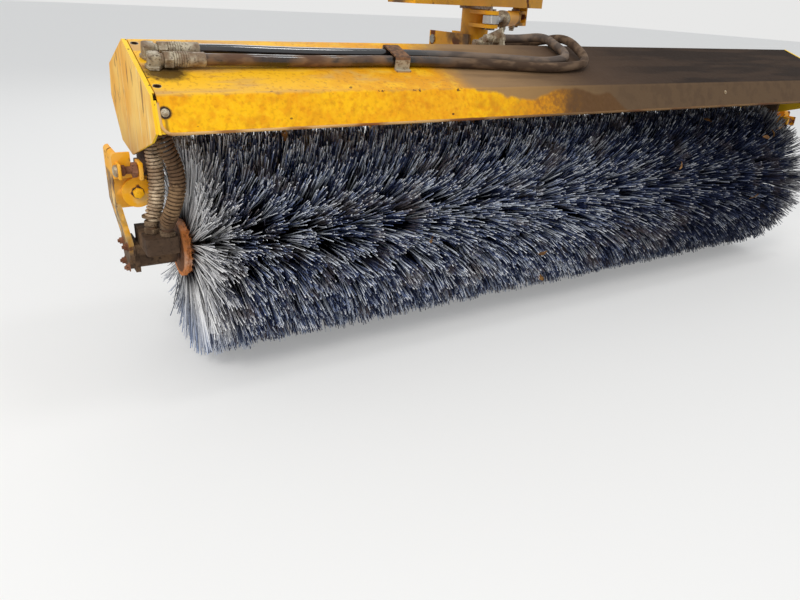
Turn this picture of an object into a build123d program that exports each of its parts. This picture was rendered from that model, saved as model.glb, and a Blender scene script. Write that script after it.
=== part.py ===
# Rotary broom head that swings on a kingpin and lifts on a rockshaft.
# Millimetres. X runs along the brush, -Y is the front and +Z is up. The origin
# is on the top face of the pivot beam, over the kingpin.

import os
from math import atan2, cos, radians, sin, tan

from build123d import *

os.makedirs("parts", exist_ok=True)

# Clearances
weld_gap = 0.1
running_gap = 0.05
thrust_gap = 0.3
pin_gap = 0.15

# Brush
brush_radius = 305
brush_length = 2440
core_radius = 72
core_wall = 6
flange_radius = 77
flange_thickness = 10
wafer_pitch = 40
wafer_root = 8
wafer_tip = 36
wafer_flare = 190
tuft_count = 16
tuft_depth = 18
tuft_gap_angle = 6
brush_drop = 700
brush_reach = 420
axis_y = -brush_reach
axis_z = -brush_drop
brush_end = brush_length / 2

# Broom beam, with its height and place measured from the brush axis
beam_size = 80
beam_wall = 6
beam_height = 410
beam_y = 38

# Hood section, carried over the beam
hood_sheet = 5
ridge_over_beam = 98.5
ridge_height = beam_height + ridge_over_beam
fold_y = 250
fold_height = ridge_height - 88.5
lip_y = 276
lip_height = fold_height - 74.5
back_fold_y = 205
back_drop = 80
lip_corner = 22
bend_radius = 9
hood_overhang = 68
hood_joint = 2.5
hood_flange = 10
apron_inset = 8
apron_corner = 51
apron_drop = 25.5
apron_tip_y = 20
apron_depth = 102.5
apron_back_y = 141
apron_back_rise = 13
rim_hole_radius = 6
rim_hole_inset = 11
rim_hole_ys = [-21, -213]
fold_notch = 18
hood_end_inner = brush_end + hood_overhang + hood_joint + hood_flange - hood_sheet

# What hangs from the beam's ends
hanger_offset = 50
hanger_thickness = 12
hanger_width = 130
hanger_y = 15
spacer_radius = 20
hanger_bottom = 130
arm_inner = 130
arm_thickness = 12
arm_width = 100
arm_top = 267
arm_corner = 10
arm_joggle = 16
joggle_top = 135
joggle_bottom = 40
foot_inner = arm_inner - arm_joggle
foot_shoulder = 10
arm_foot_radius = 40
face_plate_width = 41
face_plate_thickness = 10
face_plate_bottom = 208
block_height = 72
block_center = 171
boss_radius = 36
boss_offset = 30
boss_thickness = 10
boss_bolt_radius = 12
boss_bolt_height = 8
level_bolt_height = 230
level_bolt_radius = 10
level_bolt_inner = 80
level_bolt_gap = 6
level_lug = 10
level_lug_rim = 8
level_lug_foot = 20
level_nut = 12
level_nut_radius = 15
cradle_height = 27
cradle_thickness = 10
cradle_top = 36

# Drive motor and idler bearing
motor_radius = 38
motor_flange_size = 78
motor_flange_thickness = 12
motor_gap = 9
shaft_radius = 16
shaft_grip = 60
shaft_seat = 30
port_block_top = 76
port_block_width = 78
port_block_depth = 141
port_block_round = 8
bearing_radius = 38
bearing_length = 46
idler_radius = 20

# Swing frame
kingpin_radius = 30
kingpin_thread_radius = 20
kingpin_thread_end = 6
kingpin_flange_radius = 60
kingpin_nut_radius = 34
kingpin_nut_thickness = 20
kingpin_washer = 10
kingpin_washer_radius = 45
hub_radius = 50
hub_top = -100
hub_bottom = -300
cheek_inner = 46
cheek_thickness = 12
cheek_front = -45
cheek_top = -185
cheek_foot = 52
crossmember_top = -340
crossmember_height = 60
crossmember_depth = 64
crossmember_wall = 6
crossmember_half = 300
bearing_plate = 30
bearing_sleeve_radius = 56
shaft_z = -460

# Lift carriage
rockshaft_radius = 38
rockshaft_half = 415
lift_arm_x = 380
lift_arm_width = 60
lift_arm_root = 35
lift_arm_bend = 160
lift_arm_knee = 90
lift_arm_depth = 70
lift_arm_end = 58
lever_reach = 180
lever_inner = 14
lever_thickness = 12
lever_eye_radius = 26

# Cylinders
pin_radius = 10
pin_head = 6
pin_head_radius = 16
barrel_radius = 27.5
rod_radius = 12.5
base_eye_radius = 25
base_eye_width = 30
base_neck_radius = 13
barrel_neck = 8
barrel_bore_start = 70
rod_eye_width = 26
ear_gap = 31
ear_thickness = 12
ear_radius = 26
anchor_ear_radius = 30
anchor_web_gap = 13
lug_root_radius = 40
swing_z = -130
swing_beam_angle = 26
swing_lug_radius = 150
swing_lug_angle = -106
swing_barrel_length = 285
swing_rod_start = 200
swing_eye_radius = 28
swing_eye_slack = 7.5
lift_top_z = -215
lift_barrel_length = 190
lift_rod_start = 100
lift_eye_radius = 22
lift_eye_slack = 1.5

# Pivot beam
pivot_plate_length = 1000
pivot_plate_width = 184
pivot_plate_thickness = 12
pivot_tube_width = 100
pivot_tube_bottom = -90
pivot_tube_wall = 8
bolt_square = 124
bolt_pattern_x = pivot_plate_length / 2 - 100
bolt_hole_radius = 9
swing_anchor_radius = pivot_plate_length / 2 - 150

# Hoses
hose_radius = 13
hose_exit = 60
guard_radius = 21
guard_exit = 24
bend_share = 0.45
elbow_x = -brush_end - 44
elbow_rear_y = -90
elbow_front_y = -136
elbow_rise = 19
elbow_tail = 12
elbow_radius = 12
elbow_nut_radius = 18
elbow_nut_height = 9
swivel_start = 32
swivel_length = 20
ferrule_radius = 17
ferrule_start = 40
ferrule_end = 109
coupler_x = -0.057 * brush_length
coupler_height = 40
coupler_length = 44
coupler_plate = 6
coupler_plate_rim = 30
coupler_plate_top = 8
nipple_radius = 12
nipple_length = 26
clamp_x = -0.267 * brush_length
clamp_y = -113
clamp_width = 42
clamp_thickness = 4
clamp_top = 35
clamp_foot = 20
clamp_lean = 4
clamp_round = 3


def keep(piece, name):
    """Labels a finished sub-part and writes it as one STEP file."""
    piece.part.label = name
    export_step(piece.part, f"parts/{name}.step")


def from_axis(y, z):
    """A point across the broom, given from the brush axis."""
    return (axis_y + y, axis_z + z)


def across(x):
    """Plane across the broom at x, with its axes along Y and Z."""
    return Plane.YZ.offset(x)


hood_slope = atan2(ridge_height - fold_height, fold_y)
hood_face = atan2(fold_height - lip_height, lip_y - fold_y)
back_fold_height = ridge_height - back_fold_y * tan(hood_slope)
back_lip_y = back_fold_y + back_drop / tan(hood_face)
back_lip_height = back_fold_height - back_drop


def hood_points(inset):
    """The five corners of the hood's section, front to back, moved inward by inset."""
    half = (hood_face - hood_slope) / 2
    fold_in = inset / cos(half) * sin(hood_slope + half)
    fold_down = inset / cos(half) * cos(hood_slope + half)
    lip_in = inset / sin(hood_face)
    corners = [
        (-lip_y + lip_in, lip_height),
        (-fold_y + fold_in, fold_height - fold_down),
        (0, ridge_height - inset / cos(hood_slope)),
        (back_fold_y - fold_in, back_fold_height - fold_down),
        (back_lip_y - lip_in, back_lip_height),
    ]
    return [from_axis(y, z) for y, z in corners]


def slope_plane(x, y):
    """Plane on the hood's front slope, normal to it, with its first axis along X."""
    height = ridge_height - abs(y) * tan(hood_slope)
    side = -1 if y < 0 else 1
    return Plane(
        origin=(x, *from_axis(y, height)),
        x_dir=(1, 0, 0),
        z_dir=(0, side * sin(hood_slope), cos(hood_slope)),
    )


def between(start, end, share):
    """The point at a share of the way from start to end."""
    return tuple(a + (b - a) * share for a, b in zip(start, end))


def polar(radius, angle):
    """A point in the XY plane at an angle in degrees from +X."""
    return (radius * cos(radians(angle)), radius * sin(radians(angle)))


# Pivot beam, turned in plan because the broom rests swung to one side
beam_plane = Plane.XY.rotated((0, 0, swing_beam_angle))
with BuildPart() as pivot_beam:
    with BuildSketch(beam_plane):
        Rectangle(pivot_plate_length, pivot_plate_width)
        with Locations((-bolt_pattern_x, 0), (bolt_pattern_x, 0)):
            with GridLocations(bolt_square, bolt_square, 2, 2):
                Circle(bolt_hole_radius, mode=Mode.SUBTRACT)
        Circle(kingpin_radius + weld_gap, mode=Mode.SUBTRACT)
    extrude(amount=-pivot_plate_thickness)
    tube_height = -pivot_tube_bottom - pivot_plate_thickness
    with BuildSketch(beam_plane.offset(-pivot_plate_thickness)):
        Rectangle(pivot_plate_length, pivot_tube_width)
        Rectangle(
            pivot_plate_length,
            pivot_tube_width - 2 * pivot_tube_wall,
            mode=Mode.SUBTRACT,
        )
    extrude(amount=-tube_height)
    with BuildSketch(beam_plane.offset(pivot_tube_bottom)):
        Rectangle(pivot_plate_length, pivot_tube_width)
        Circle(kingpin_radius + weld_gap, mode=Mode.SUBTRACT)
    extrude(amount=pivot_tube_wall)
keep(pivot_beam, "pivot_beam")

# Kingpin: shank, thrust flange under the beam and threaded end
with BuildPart() as kingpin:
    with BuildSketch(Plane.XY):
        Circle(kingpin_radius)
    extrude(amount=hub_bottom - thrust_gap)
    with BuildSketch(Plane.XY.offset(hub_top + thrust_gap)):
        Circle(kingpin_flange_radius)
    extrude(amount=pivot_tube_bottom - hub_top - thrust_gap)
    with BuildSketch(Plane.XY.offset(hub_bottom)):
        Circle(kingpin_thread_radius)
    extrude(amount=-kingpin_washer - kingpin_nut_thickness - kingpin_thread_end)
keep(kingpin, "kingpin")

with BuildPart() as kingpin_nut:
    with BuildSketch(Plane.XY.offset(hub_bottom - thrust_gap)):
        Circle(kingpin_washer_radius)
        Circle(kingpin_thread_radius + weld_gap, mode=Mode.SUBTRACT)
    extrude(amount=-kingpin_washer)
    with BuildSketch(Plane.XY.offset(hub_bottom - thrust_gap - kingpin_washer)):
        RegularPolygon(kingpin_nut_radius, 6)
        Circle(kingpin_thread_radius + weld_gap, mode=Mode.SUBTRACT)
    extrude(amount=-kingpin_nut_thickness)
keep(kingpin_nut, "kingpin_nut")

# Anchor bracket of the swing cylinder, under the beam
anchor_web_x = swing_anchor_radius + base_eye_radius + anchor_web_gap
with BuildPart() as swing_anchor:
    for level in (swing_z + ear_gap / 2, swing_z - ear_gap / 2 - ear_thickness):
        with BuildSketch(beam_plane.offset(level)):
            with Locations((swing_anchor_radius, 0)):
                Circle(anchor_ear_radius)
            with Locations(((swing_anchor_radius + anchor_web_x) / 2, 0)):
                Rectangle(anchor_web_x - swing_anchor_radius, 2 * anchor_ear_radius)
            with Locations((swing_anchor_radius, 0)):
                Circle(pin_radius + weld_gap, mode=Mode.SUBTRACT)
        extrude(amount=ear_thickness)
    with BuildSketch(beam_plane.offset(swing_z - ear_gap / 2 - ear_thickness)):
        with Locations((anchor_web_x + ear_thickness / 2, 0)):
            Rectangle(ear_thickness, 2 * anchor_ear_radius)
    extrude(amount=pivot_tube_bottom - swing_z + ear_gap / 2 + ear_thickness)
keep(swing_anchor, "swing_anchor")


def pin_between(plane, length):
    """A headed pin along the plane's normal, its middle at the plane's origin."""
    with BuildPart() as pin:
        with BuildSketch(plane.offset(-length / 2)):
            Circle(pin_radius)
        extrude(amount=length)
        with BuildSketch(plane.offset(length / 2)):
            Circle(pin_head_radius)
        extrude(amount=pin_head)
        with BuildSketch(plane.offset(-length / 2)):
            Circle(pin_head_radius)
        extrude(amount=-pin_head)
    return pin


clevis_width = ear_gap + 2 * ear_thickness
anchor_point = polar(swing_anchor_radius, swing_beam_angle)
swing_lug_point = polar(swing_lug_radius, swing_lug_angle)
keep(pin_between(Plane((*anchor_point, swing_z)), clevis_width + 2 * weld_gap), "swing_anchor_pin")

# Swing hub on the kingpin
with BuildPart() as swing_hub:
    with BuildSketch(Plane.XY.offset(hub_top)):
        Circle(hub_radius)
        Circle(kingpin_radius + running_gap, mode=Mode.SUBTRACT)
    extrude(amount=hub_bottom - hub_top)
keep(swing_hub, "swing_hub")

# Upper and lower lug for the swing cylinder's rod eye
with BuildPart() as swing_lugs:
    for level in (swing_z + ear_gap / 2, swing_z - ear_gap / 2 - ear_thickness):
        with BuildSketch(Plane.XY.offset(level)):
            Circle(lug_root_radius)
            with Locations(swing_lug_point):
                Circle(ear_radius)
            make_hull()
            Circle(hub_radius + weld_gap, mode=Mode.SUBTRACT)
            with Locations(swing_lug_point):
                Circle(pin_radius + weld_gap, mode=Mode.SUBTRACT)
        extrude(amount=ear_thickness)
keep(swing_lugs, "swing_lugs")
keep(pin_between(Plane((*swing_lug_point, swing_z)), clevis_width + 2 * weld_gap), "swing_lug_pin")

# Cheek plates that join the hub, the lift cylinder's top pin and the crossmember
lift_top = (lever_reach, lift_top_z)
with BuildPart() as swing_cheeks:
    for side in (-1, 1):
        with BuildSketch(across(side * cheek_inner)):
            with BuildLine():
                Polyline(
                    (cheek_front, cheek_top),
                    (lever_reach + ear_radius, cheek_top),
                    (lever_reach + ear_radius, lift_top_z - ear_radius),
                    (cheek_foot, crossmember_top),
                    (cheek_front, crossmember_top),
                    close=True,
                )
            make_face()
            with Locations(lift_top):
                Circle(pin_radius + weld_gap, mode=Mode.SUBTRACT)
        extrude(amount=side * cheek_thickness)
    with BuildSketch(Plane.XY.offset(hub_bottom)):
        Circle(hub_radius + weld_gap)
    extrude(amount=hub_top - hub_bottom, mode=Mode.SUBTRACT)
keep(swing_cheeks, "swing_cheeks")
cheek_span = 2 * (cheek_inner + cheek_thickness) + 2 * weld_gap
keep(pin_between(Plane((0, *lift_top), z_dir=(1, 0, 0)), cheek_span), "lift_top_pin")

with BuildPart() as swing_crossmember:
    crossmember_middle = crossmember_top - crossmember_height / 2
    with BuildSketch(across(-crossmember_half)):
        with Locations((0, crossmember_middle)):
            Rectangle(crossmember_depth, crossmember_height)
            Rectangle(
                crossmember_depth - 2 * crossmember_wall,
                crossmember_height - 2 * crossmember_wall,
                mode=Mode.SUBTRACT,
            )
    extrude(amount=2 * crossmember_half)
keep(swing_crossmember, "swing_crossmember")

# Bearings that carry the rockshaft, hung from the crossmember's ends
for side, name in ((-1, "shaft_bearing_left"), (1, "shaft_bearing_right")):
    with BuildPart() as shaft_bearing:
        with BuildSketch(across(side * (crossmember_half - bearing_plate))):
            with Locations((0, shaft_z)):
                Circle(bearing_sleeve_radius)
            crossmember_bottom = crossmember_top - crossmember_height
            with Locations((0, (crossmember_bottom + shaft_z) / 2)):
                Rectangle(crossmember_depth, crossmember_bottom - shaft_z)
            with Locations((0, shaft_z)):
                Circle(rockshaft_radius + running_gap, mode=Mode.SUBTRACT)
        extrude(amount=side * 2 * bearing_plate)
    keep(shaft_bearing, name)

# Rockshaft with the arms and the lever that turn on it
with BuildPart() as rockshaft:
    with BuildSketch(across(-rockshaft_half)):
        with Locations((0, shaft_z)):
            Circle(rockshaft_radius)
            Circle(rockshaft_radius - core_wall, mode=Mode.SUBTRACT)
    extrude(amount=2 * rockshaft_half)
keep(rockshaft, "rockshaft")

beam_back = axis_y + beam_y + beam_size / 2
for side, name in ((-1, "lift_arm_left"), (1, "lift_arm_right")):
    with BuildPart() as lift_arm:
        with BuildSketch(across(side * (lift_arm_x - lift_arm_width / 2))):
            with BuildLine():
                Polyline(
                    (0, shaft_z + lift_arm_root),
                    (-lift_arm_bend, shaft_z + lift_arm_depth),
                    (beam_back, axis_z + beam_height + lift_arm_end / 2),
                    (beam_back, axis_z + beam_height - lift_arm_end / 2),
                    (-lift_arm_bend - lift_arm_knee, shaft_z + lift_arm_depth),
                    (-lift_arm_bend, shaft_z),
                    (0, shaft_z - lift_arm_root),
                    close=True,
                )
            make_face()
            with Locations((0, shaft_z)):
                Circle(bearing_sleeve_radius)
                Circle(rockshaft_radius + weld_gap, mode=Mode.SUBTRACT)
        extrude(amount=side * lift_arm_width)
    keep(lift_arm, name)

with BuildPart() as lift_lever:
    for side in (-1, 1):
        with BuildSketch(across(side * lever_inner)):
            with Locations((0, shaft_z)):
                Circle(bearing_sleeve_radius)
            with Locations((lever_reach, shaft_z)):
                Circle(lever_eye_radius)
            make_hull()
            with Locations((0, shaft_z)):
                Circle(rockshaft_radius + weld_gap, mode=Mode.SUBTRACT)
            with Locations((lever_reach, shaft_z)):
                Circle(pin_radius + weld_gap, mode=Mode.SUBTRACT)
        extrude(amount=side * lever_thickness)
keep(lift_lever, "lift_lever")
lever_span = 2 * (lever_inner + lever_thickness) + 2 * weld_gap
lever_pin_plane = Plane((0, lever_reach, shaft_z), z_dir=(1, 0, 0))
keep(pin_between(lever_pin_plane, lever_span), "lift_lever_pin")

# Broom beam over the brush
beam_half = brush_end + hanger_offset
with BuildPart() as broom_beam:
    with BuildSketch(across(-beam_half)):
        with Locations(from_axis(beam_y, beam_height)):
            Rectangle(beam_size, beam_size)
            Rectangle(beam_size - 2 * beam_wall, beam_size - 2 * beam_wall, mode=Mode.SUBTRACT)
    extrude(amount=2 * beam_half)
keep(broom_beam, "broom_beam")

# Hood sheet, folded from one plate
hood_half = brush_end + hood_overhang
with BuildPart() as hood_panel:
    with BuildSketch(across(-hood_half)):
        with BuildLine():
            outer = FilletPolyline(*hood_points(0), radius=bend_radius)
            inner = FilletPolyline(*hood_points(hood_sheet), radius=bend_radius - hood_sheet)
            Line(outer @ 0, inner @ 0)
            Line(outer @ 1, inner @ 1)
        make_face()
    extrude(amount=2 * hood_half)
    for side in (-1, 1):
        for height, reach in ((lip_height, lip_y), (back_lip_height, -back_lip_y)):
            corner = Vector(side * (hood_half - lip_corner), axis_z + height + lip_corner)
            with BuildSketch(Plane.XZ.offset(brush_reach)):
                with Locations(corner + Vector(side, -1) * (lip_corner / 2)):
                    Rectangle(lip_corner, lip_corner)
                with Locations(corner):
                    Circle(lip_corner, mode=Mode.SUBTRACT)
            extrude(amount=reach, mode=Mode.SUBTRACT)
    holes = [(elbow_x, y, elbow_radius + weld_gap) for y in (elbow_rear_y, elbow_front_y)]
    holes += [(x, y, rim_hole_radius) for x in (rim_hole_inset - hood_half, hood_half - rim_hole_inset)
              for y in rim_hole_ys]
    for x, y, radius in holes:
        with BuildSketch(slope_plane(x, y)):
            Circle(radius)
        extrude(amount=-2 * hood_sheet, both=True, mode=Mode.SUBTRACT)
keep(hood_panel, "hood_panel")

# Hood end plates: plate, rim flange and two tabs under the sheet
tab_length = 40
tab_share = 0.8
apron = [
    (-lip_y + apron_inset, lip_height),
    (-lip_y + apron_corner, lip_height - apron_drop),
    (apron_tip_y, lip_height - apron_depth),
    (apron_back_y, lip_height - apron_depth + apron_back_rise),
    (back_lip_y, back_lip_height),
]
for side, name in ((-1, "hood_end_left"), (1, "hood_end_right")):
    with BuildPart() as hood_end:
        with BuildSketch(across(side * hood_end_inner)):
            with BuildLine():
                Polyline(
                    *[from_axis(y, z) for y, z in apron],
                    *reversed(hood_points(0)[1:4]),
                    close=True,
                )
            make_face()
        extrude(amount=side * hood_sheet)
        with BuildSketch(across(side * hood_end_inner)):
            with BuildLine():
                Polyline(*hood_points(0), *reversed(hood_points(hood_sheet)), close=True)
            make_face()
            with Locations(hood_points(hood_sheet / 2)[1]):
                Rectangle(fold_notch, fold_notch, rotation=45, mode=Mode.SUBTRACT)
        extrude(amount=-side * (hood_flange - hood_sheet))
        for lip, fold in ((0, 1), (4, 3)):
            upper = hood_points(hood_sheet + weld_gap)
            lower = hood_points(2 * hood_sheet)
            with BuildSketch(across(side * hood_end_inner)):
                with BuildLine():
                    Polyline(
                        upper[lip],
                        between(upper[lip], upper[fold], tab_share),
                        between(lower[lip], lower[fold], tab_share),
                        lower[lip],
                        close=True,
                    )
                make_face()
            extrude(amount=-side * tab_length)
    keep(hood_end, name)

# Cleats between the beam and the hood sheet
cleat_xs = [-900, -300, 300, 900]
cleat_front = beam_y - 60
cleat_back = beam_y + 60
cleat_flat = 10
cleat_thickness = 10


def under_hood(y):
    """Height of the sheet's inner face above the brush axis, at y from the axis."""
    return ridge_height - hood_sheet / cos(hood_slope) - abs(y) * tan(hood_slope) - weld_gap


with BuildPart() as hood_cleats:
    for x in cleat_xs:
        with BuildSketch(across(x)):
            with BuildLine():
                Polyline(
                    from_axis(cleat_front, beam_height + beam_size / 2),
                    from_axis(cleat_front, under_hood(cleat_front)),
                    from_axis(-cleat_flat, under_hood(cleat_flat)),
                    from_axis(cleat_flat, under_hood(cleat_flat)),
                    from_axis(cleat_back, under_hood(cleat_back)),
                    from_axis(cleat_back, beam_height + beam_size / 2),
                    close=True,
                )
            make_face()
        extrude(amount=cleat_thickness)
keep(hood_cleats, "hood_cleats")

# End hangers, pivot blocks and end arms
arm_outer = arm_inner + arm_thickness
for side, end in ((-1, "left"), (1, "right")):
    x_hanger = side * (brush_end + hanger_offset)
    with BuildPart() as hanger:
        with BuildSketch(across(x_hanger)):
            with Locations(from_axis(hanger_y, (beam_height + beam_size / 2 + hanger_bottom) / 2)):
                Rectangle(hanger_width, beam_height + beam_size / 2 - hanger_bottom)
        extrude(amount=side * hanger_thickness)
        with BuildSketch(across(x_hanger + side * hanger_thickness)):
            with Locations(from_axis(beam_y, beam_height)):
                Circle(spacer_radius)
        spacer = hood_end_inner - brush_end - hanger_offset - hanger_thickness - weld_gap
        extrude(amount=side * spacer)
    keep(hanger, f"hanger_{end}")

    x_block = side * (brush_end + hanger_offset + hanger_thickness)
    block_width = arm_inner - hanger_offset - hanger_thickness
    with BuildPart() as pivot_block:
        with BuildSketch(across(x_block)):
            with Locations(from_axis(0, block_center)):
                Rectangle(arm_width, block_height)
        extrude(amount=side * block_width)
        front = Plane(
            origin=(x_block + side * boss_offset, *from_axis(-arm_width / 2, block_center)),
            x_dir=(1, 0, 0),
            z_dir=(0, -1, 0),
        )
        with BuildSketch(front):
            Circle(boss_radius)
        extrude(amount=boss_thickness)
        with BuildSketch(front.offset(boss_thickness)):
            RegularPolygon(boss_bolt_radius, 6)
        extrude(amount=boss_bolt_height)
    keep(pivot_block, f"pivot_block_{end}")

    foot_outer = foot_inner + arm_thickness
    with BuildPart() as end_arm:
        with BuildSketch(Plane.XZ.offset(brush_reach)):
            with BuildLine():
                Polyline(
                    *[
                        (side * (brush_end + x), axis_z + z)
                        for x, z in (
                            (arm_outer, arm_top),
                            (arm_outer, joggle_top),
                            (foot_outer, joggle_bottom),
                            (foot_outer, -arm_foot_radius),
                            (foot_inner, -arm_foot_radius),
                            (foot_inner, joggle_bottom),
                            (arm_inner, joggle_top),
                            (arm_inner, arm_top),
                        )
                    ],
                    close=True,
                )
            make_face()
        extrude(amount=arm_width / 2, both=True)
        with BuildSketch(across(side * (brush_end + foot_inner))):
            with Locations(from_axis(0, 0)):
                Circle(arm_foot_radius)
            with Locations(from_axis(0, (arm_top + foot_shoulder) / 2)):
                Rectangle(arm_width, arm_top - foot_shoulder)
            make_hull()
        extrude(amount=side * (arm_outer - foot_inner), mode=Mode.INTERSECT)
        face_x = side * (brush_end + arm_outer - face_plate_width / 2)
        face_height = arm_top - face_plate_bottom
        with BuildSketch(Plane.XZ.offset(-axis_y + arm_width / 2)):
            with Locations((face_x, axis_z + arm_top - face_height / 2)):
                Rectangle(face_plate_width, face_height)
        extrude(amount=face_plate_thickness)
        top_edges = end_arm.edges().filter_by(Axis.Y).group_by(Axis.Z)[-1]
        fillet(top_edges.sort_by(Axis.X)[0 if side < 0 else -1], arm_corner)
    keep(end_arm, f"end_arm_{end}")

    cradle_length = foot_inner - weld_gap - motor_gap
    x_cradle = side * (brush_end + motor_gap + cradle_length / 2)
    with BuildPart() as cradle:
        with BuildSketch(Plane.XZ.offset(-axis_y + arm_width / 2)):
            with Locations((x_cradle, axis_z + cradle_top - cradle_height / 2)):
                Rectangle(cradle_length, cradle_height)
        extrude(amount=-cradle_thickness)
    keep(cradle, f"cradle_bar_{end}")

    with BuildPart() as level_bolt:
        y_bolt = -arm_width / 2 - face_plate_thickness - level_bolt_radius - level_bolt_gap
        front_y = y_bolt - level_bolt_radius - level_lug_rim
        bolt_top = level_bolt_height + level_bolt_radius + level_lug_rim
        bolt_bottom = level_bolt_height - level_bolt_radius - level_lug_rim
        bolt_plane = across(side * (brush_end + level_bolt_inner))
        bolt_length = arm_outer - level_bolt_inner
        with BuildSketch(bolt_plane):
            with Locations(from_axis(y_bolt, level_bolt_height)):
                Circle(level_bolt_radius)
        extrude(amount=side * bolt_length)
        for start in (level_lug, bolt_length - level_lug - level_nut):
            with BuildSketch(bolt_plane.offset(side * start)):
                with Locations(from_axis(y_bolt, level_bolt_height)):
                    RegularPolygon(level_nut_radius, 6)
            extrude(amount=side * level_nut)
        for start, back, bottom in (
            (0, level_lug_foot - arm_width / 2, block_center + block_height / 2),
            (bolt_length - level_lug, -arm_width / 2 - face_plate_thickness, bolt_bottom),
        ):
            with BuildSketch(bolt_plane.offset(side * start)):
                with Locations(from_axis((front_y + back) / 2, (bolt_top + bottom) / 2)):
                    Rectangle(back - front_y, bolt_top - bottom)
            extrude(amount=side * level_lug)
    keep(level_bolt, f"level_bolt_{end}")

# Drive motor on the left arm
x_face = -brush_end - foot_inner
with BuildPart() as drive_motor:
    with BuildSketch(across(x_face)):
        with Locations(from_axis(0, 0)):
            Rectangle(motor_flange_size, motor_flange_size)
    extrude(amount=motor_flange_thickness)
    with BuildSketch(across(x_face)):
        with Locations(from_axis(0, 0)):
            Circle(motor_radius)
    extrude(amount=foot_inner - motor_gap)
    with BuildSketch(Plane.XY.offset(axis_z + port_block_top)):
        with Locations((-brush_end - (foot_inner + motor_gap) / 2, axis_y - port_block_depth / 2)):
            Rectangle(port_block_width, port_block_depth)
    extrude(amount=cradle_top + weld_gap - port_block_top)
    with BuildSketch(across(-brush_end - motor_gap)):
        with Locations(from_axis(0, 0)):
            Circle(shaft_radius + running_gap)
    extrude(amount=-shaft_seat, mode=Mode.SUBTRACT)
    fillet(drive_motor.edges().filter_by(Axis.Z).group_by(Axis.Y)[0], port_block_round)
keep(drive_motor, "drive_motor")

with BuildPart() as idler_bearing:
    with BuildSketch(across(-x_face)):
        with Locations(from_axis(0, 0)):
            Circle(bearing_radius)
            Circle(idler_radius + running_gap, mode=Mode.SUBTRACT)
    extrude(amount=-bearing_length)
keep(idler_bearing, "idler_bearing")

# Brush: core tube with end discs and shafts, and the bristle wafers
with BuildPart() as brush_core:
    with BuildSketch(across(-brush_end)):
        with Locations(from_axis(0, 0)):
            Circle(core_radius)
            Circle(core_radius - core_wall, mode=Mode.SUBTRACT)
    extrude(amount=brush_length)
    for side in (-1, 1):
        with BuildSketch(across(side * brush_end)):
            with Locations(from_axis(0, 0)):
                Circle(flange_radius)
        extrude(amount=-side * flange_thickness)
    with BuildSketch(across(-brush_end - motor_gap - shaft_seat + thrust_gap)):
        with Locations(from_axis(0, 0)):
            Circle(shaft_radius)
    extrude(amount=motor_gap + shaft_seat + shaft_grip)
    with BuildSketch(across(brush_end + foot_inner - thrust_gap)):
        with Locations(from_axis(0, 0)):
            Circle(idler_radius)
    extrude(amount=-foot_inner - shaft_grip)
keep(brush_core, "brush_core")

# One wafer: a ring of bristles that flares toward the tips and parts into tufts
with BuildPart() as wafer:
    with BuildSketch(Plane.XZ):
        with BuildLine():
            Polyline(
                (-wafer_root / 2, core_radius + weld_gap),
                (-wafer_root / 2, wafer_flare),
                (-wafer_tip / 2, brush_radius),
                (wafer_tip / 2, brush_radius),
                (wafer_root / 2, wafer_flare),
                (wafer_root / 2, core_radius + weld_gap),
                close=True,
            )
        make_face()
    revolve(axis=Axis.X)
    gap_edge = brush_radius * tan(radians(tuft_gap_angle / 2))
    with BuildSketch(Plane.YZ):
        with PolarLocations(0, tuft_count):
            Polygon((0, 0), (brush_radius, -gap_edge), (brush_radius, gap_edge), align=None)
        Circle(brush_radius - tuft_depth, mode=Mode.SUBTRACT)
    extrude(amount=wafer_tip / 2, both=True, mode=Mode.SUBTRACT)

wafer_room = brush_length - 2 * flange_thickness
wafer_count = round(wafer_room / wafer_pitch)
wafer_places = []
for index in range(wafer_count):
    x = -wafer_room / 2 + (index + 0.5) * wafer_room / wafer_count
    turn = index % 2 * 180 / tuft_count
    wafer_places.append(Location((x, axis_y, axis_z), (turn, 0, 0)))
with BuildPart() as bristle_wafers:
    with Locations(*wafer_places):
        add(wafer.part)
keep(bristle_wafers, "bristle_wafers")


def cylinder_pieces(base, tip, pin_dir, barrel_end, rod_start, eye_radius, slack):
    """Barrel and rod of a cylinder from its base pin to its rod eye."""
    way = Vector(*tip) - Vector(*base)
    length = way.length
    axis_plane = Plane(origin=base, x_dir=pin_dir, z_dir=way)
    pin_plane = Plane(origin=base, x_dir=way, z_dir=pin_dir)
    with BuildPart() as barrel:
        with BuildSketch(pin_plane.offset(-base_eye_width / 2)):
            Circle(base_eye_radius)
        extrude(amount=base_eye_width)
        with BuildSketch(axis_plane.offset(base_eye_radius / 2)):
            Circle(base_neck_radius)
        extrude(amount=base_eye_radius)
        with BuildSketch(axis_plane.offset(base_eye_radius + barrel_neck)):
            Circle(barrel_radius)
        extrude(amount=barrel_end - base_eye_radius - barrel_neck)
        with BuildSketch(axis_plane.offset(barrel_end)):
            Circle(rod_radius + running_gap)
        extrude(amount=barrel_bore_start - barrel_end, mode=Mode.SUBTRACT)
        with BuildSketch(pin_plane.offset(-base_eye_width / 2)):
            Circle(pin_radius + pin_gap)
        extrude(amount=base_eye_width, mode=Mode.SUBTRACT)
    with BuildPart() as rod:
        with BuildSketch(axis_plane.offset(rod_start)):
            Circle(rod_radius)
        extrude(amount=length - rod_start)
        with BuildSketch(pin_plane.offset(-rod_eye_width / 2)):
            with Locations((length, 0)):
                Circle(eye_radius)
        extrude(amount=rod_eye_width)
        with BuildSketch(pin_plane.offset(-rod_eye_width / 2)):
            with Locations((length, 0)):
                Circle(pin_radius + slack)
        extrude(amount=rod_eye_width, mode=Mode.SUBTRACT)
    return barrel, rod


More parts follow.
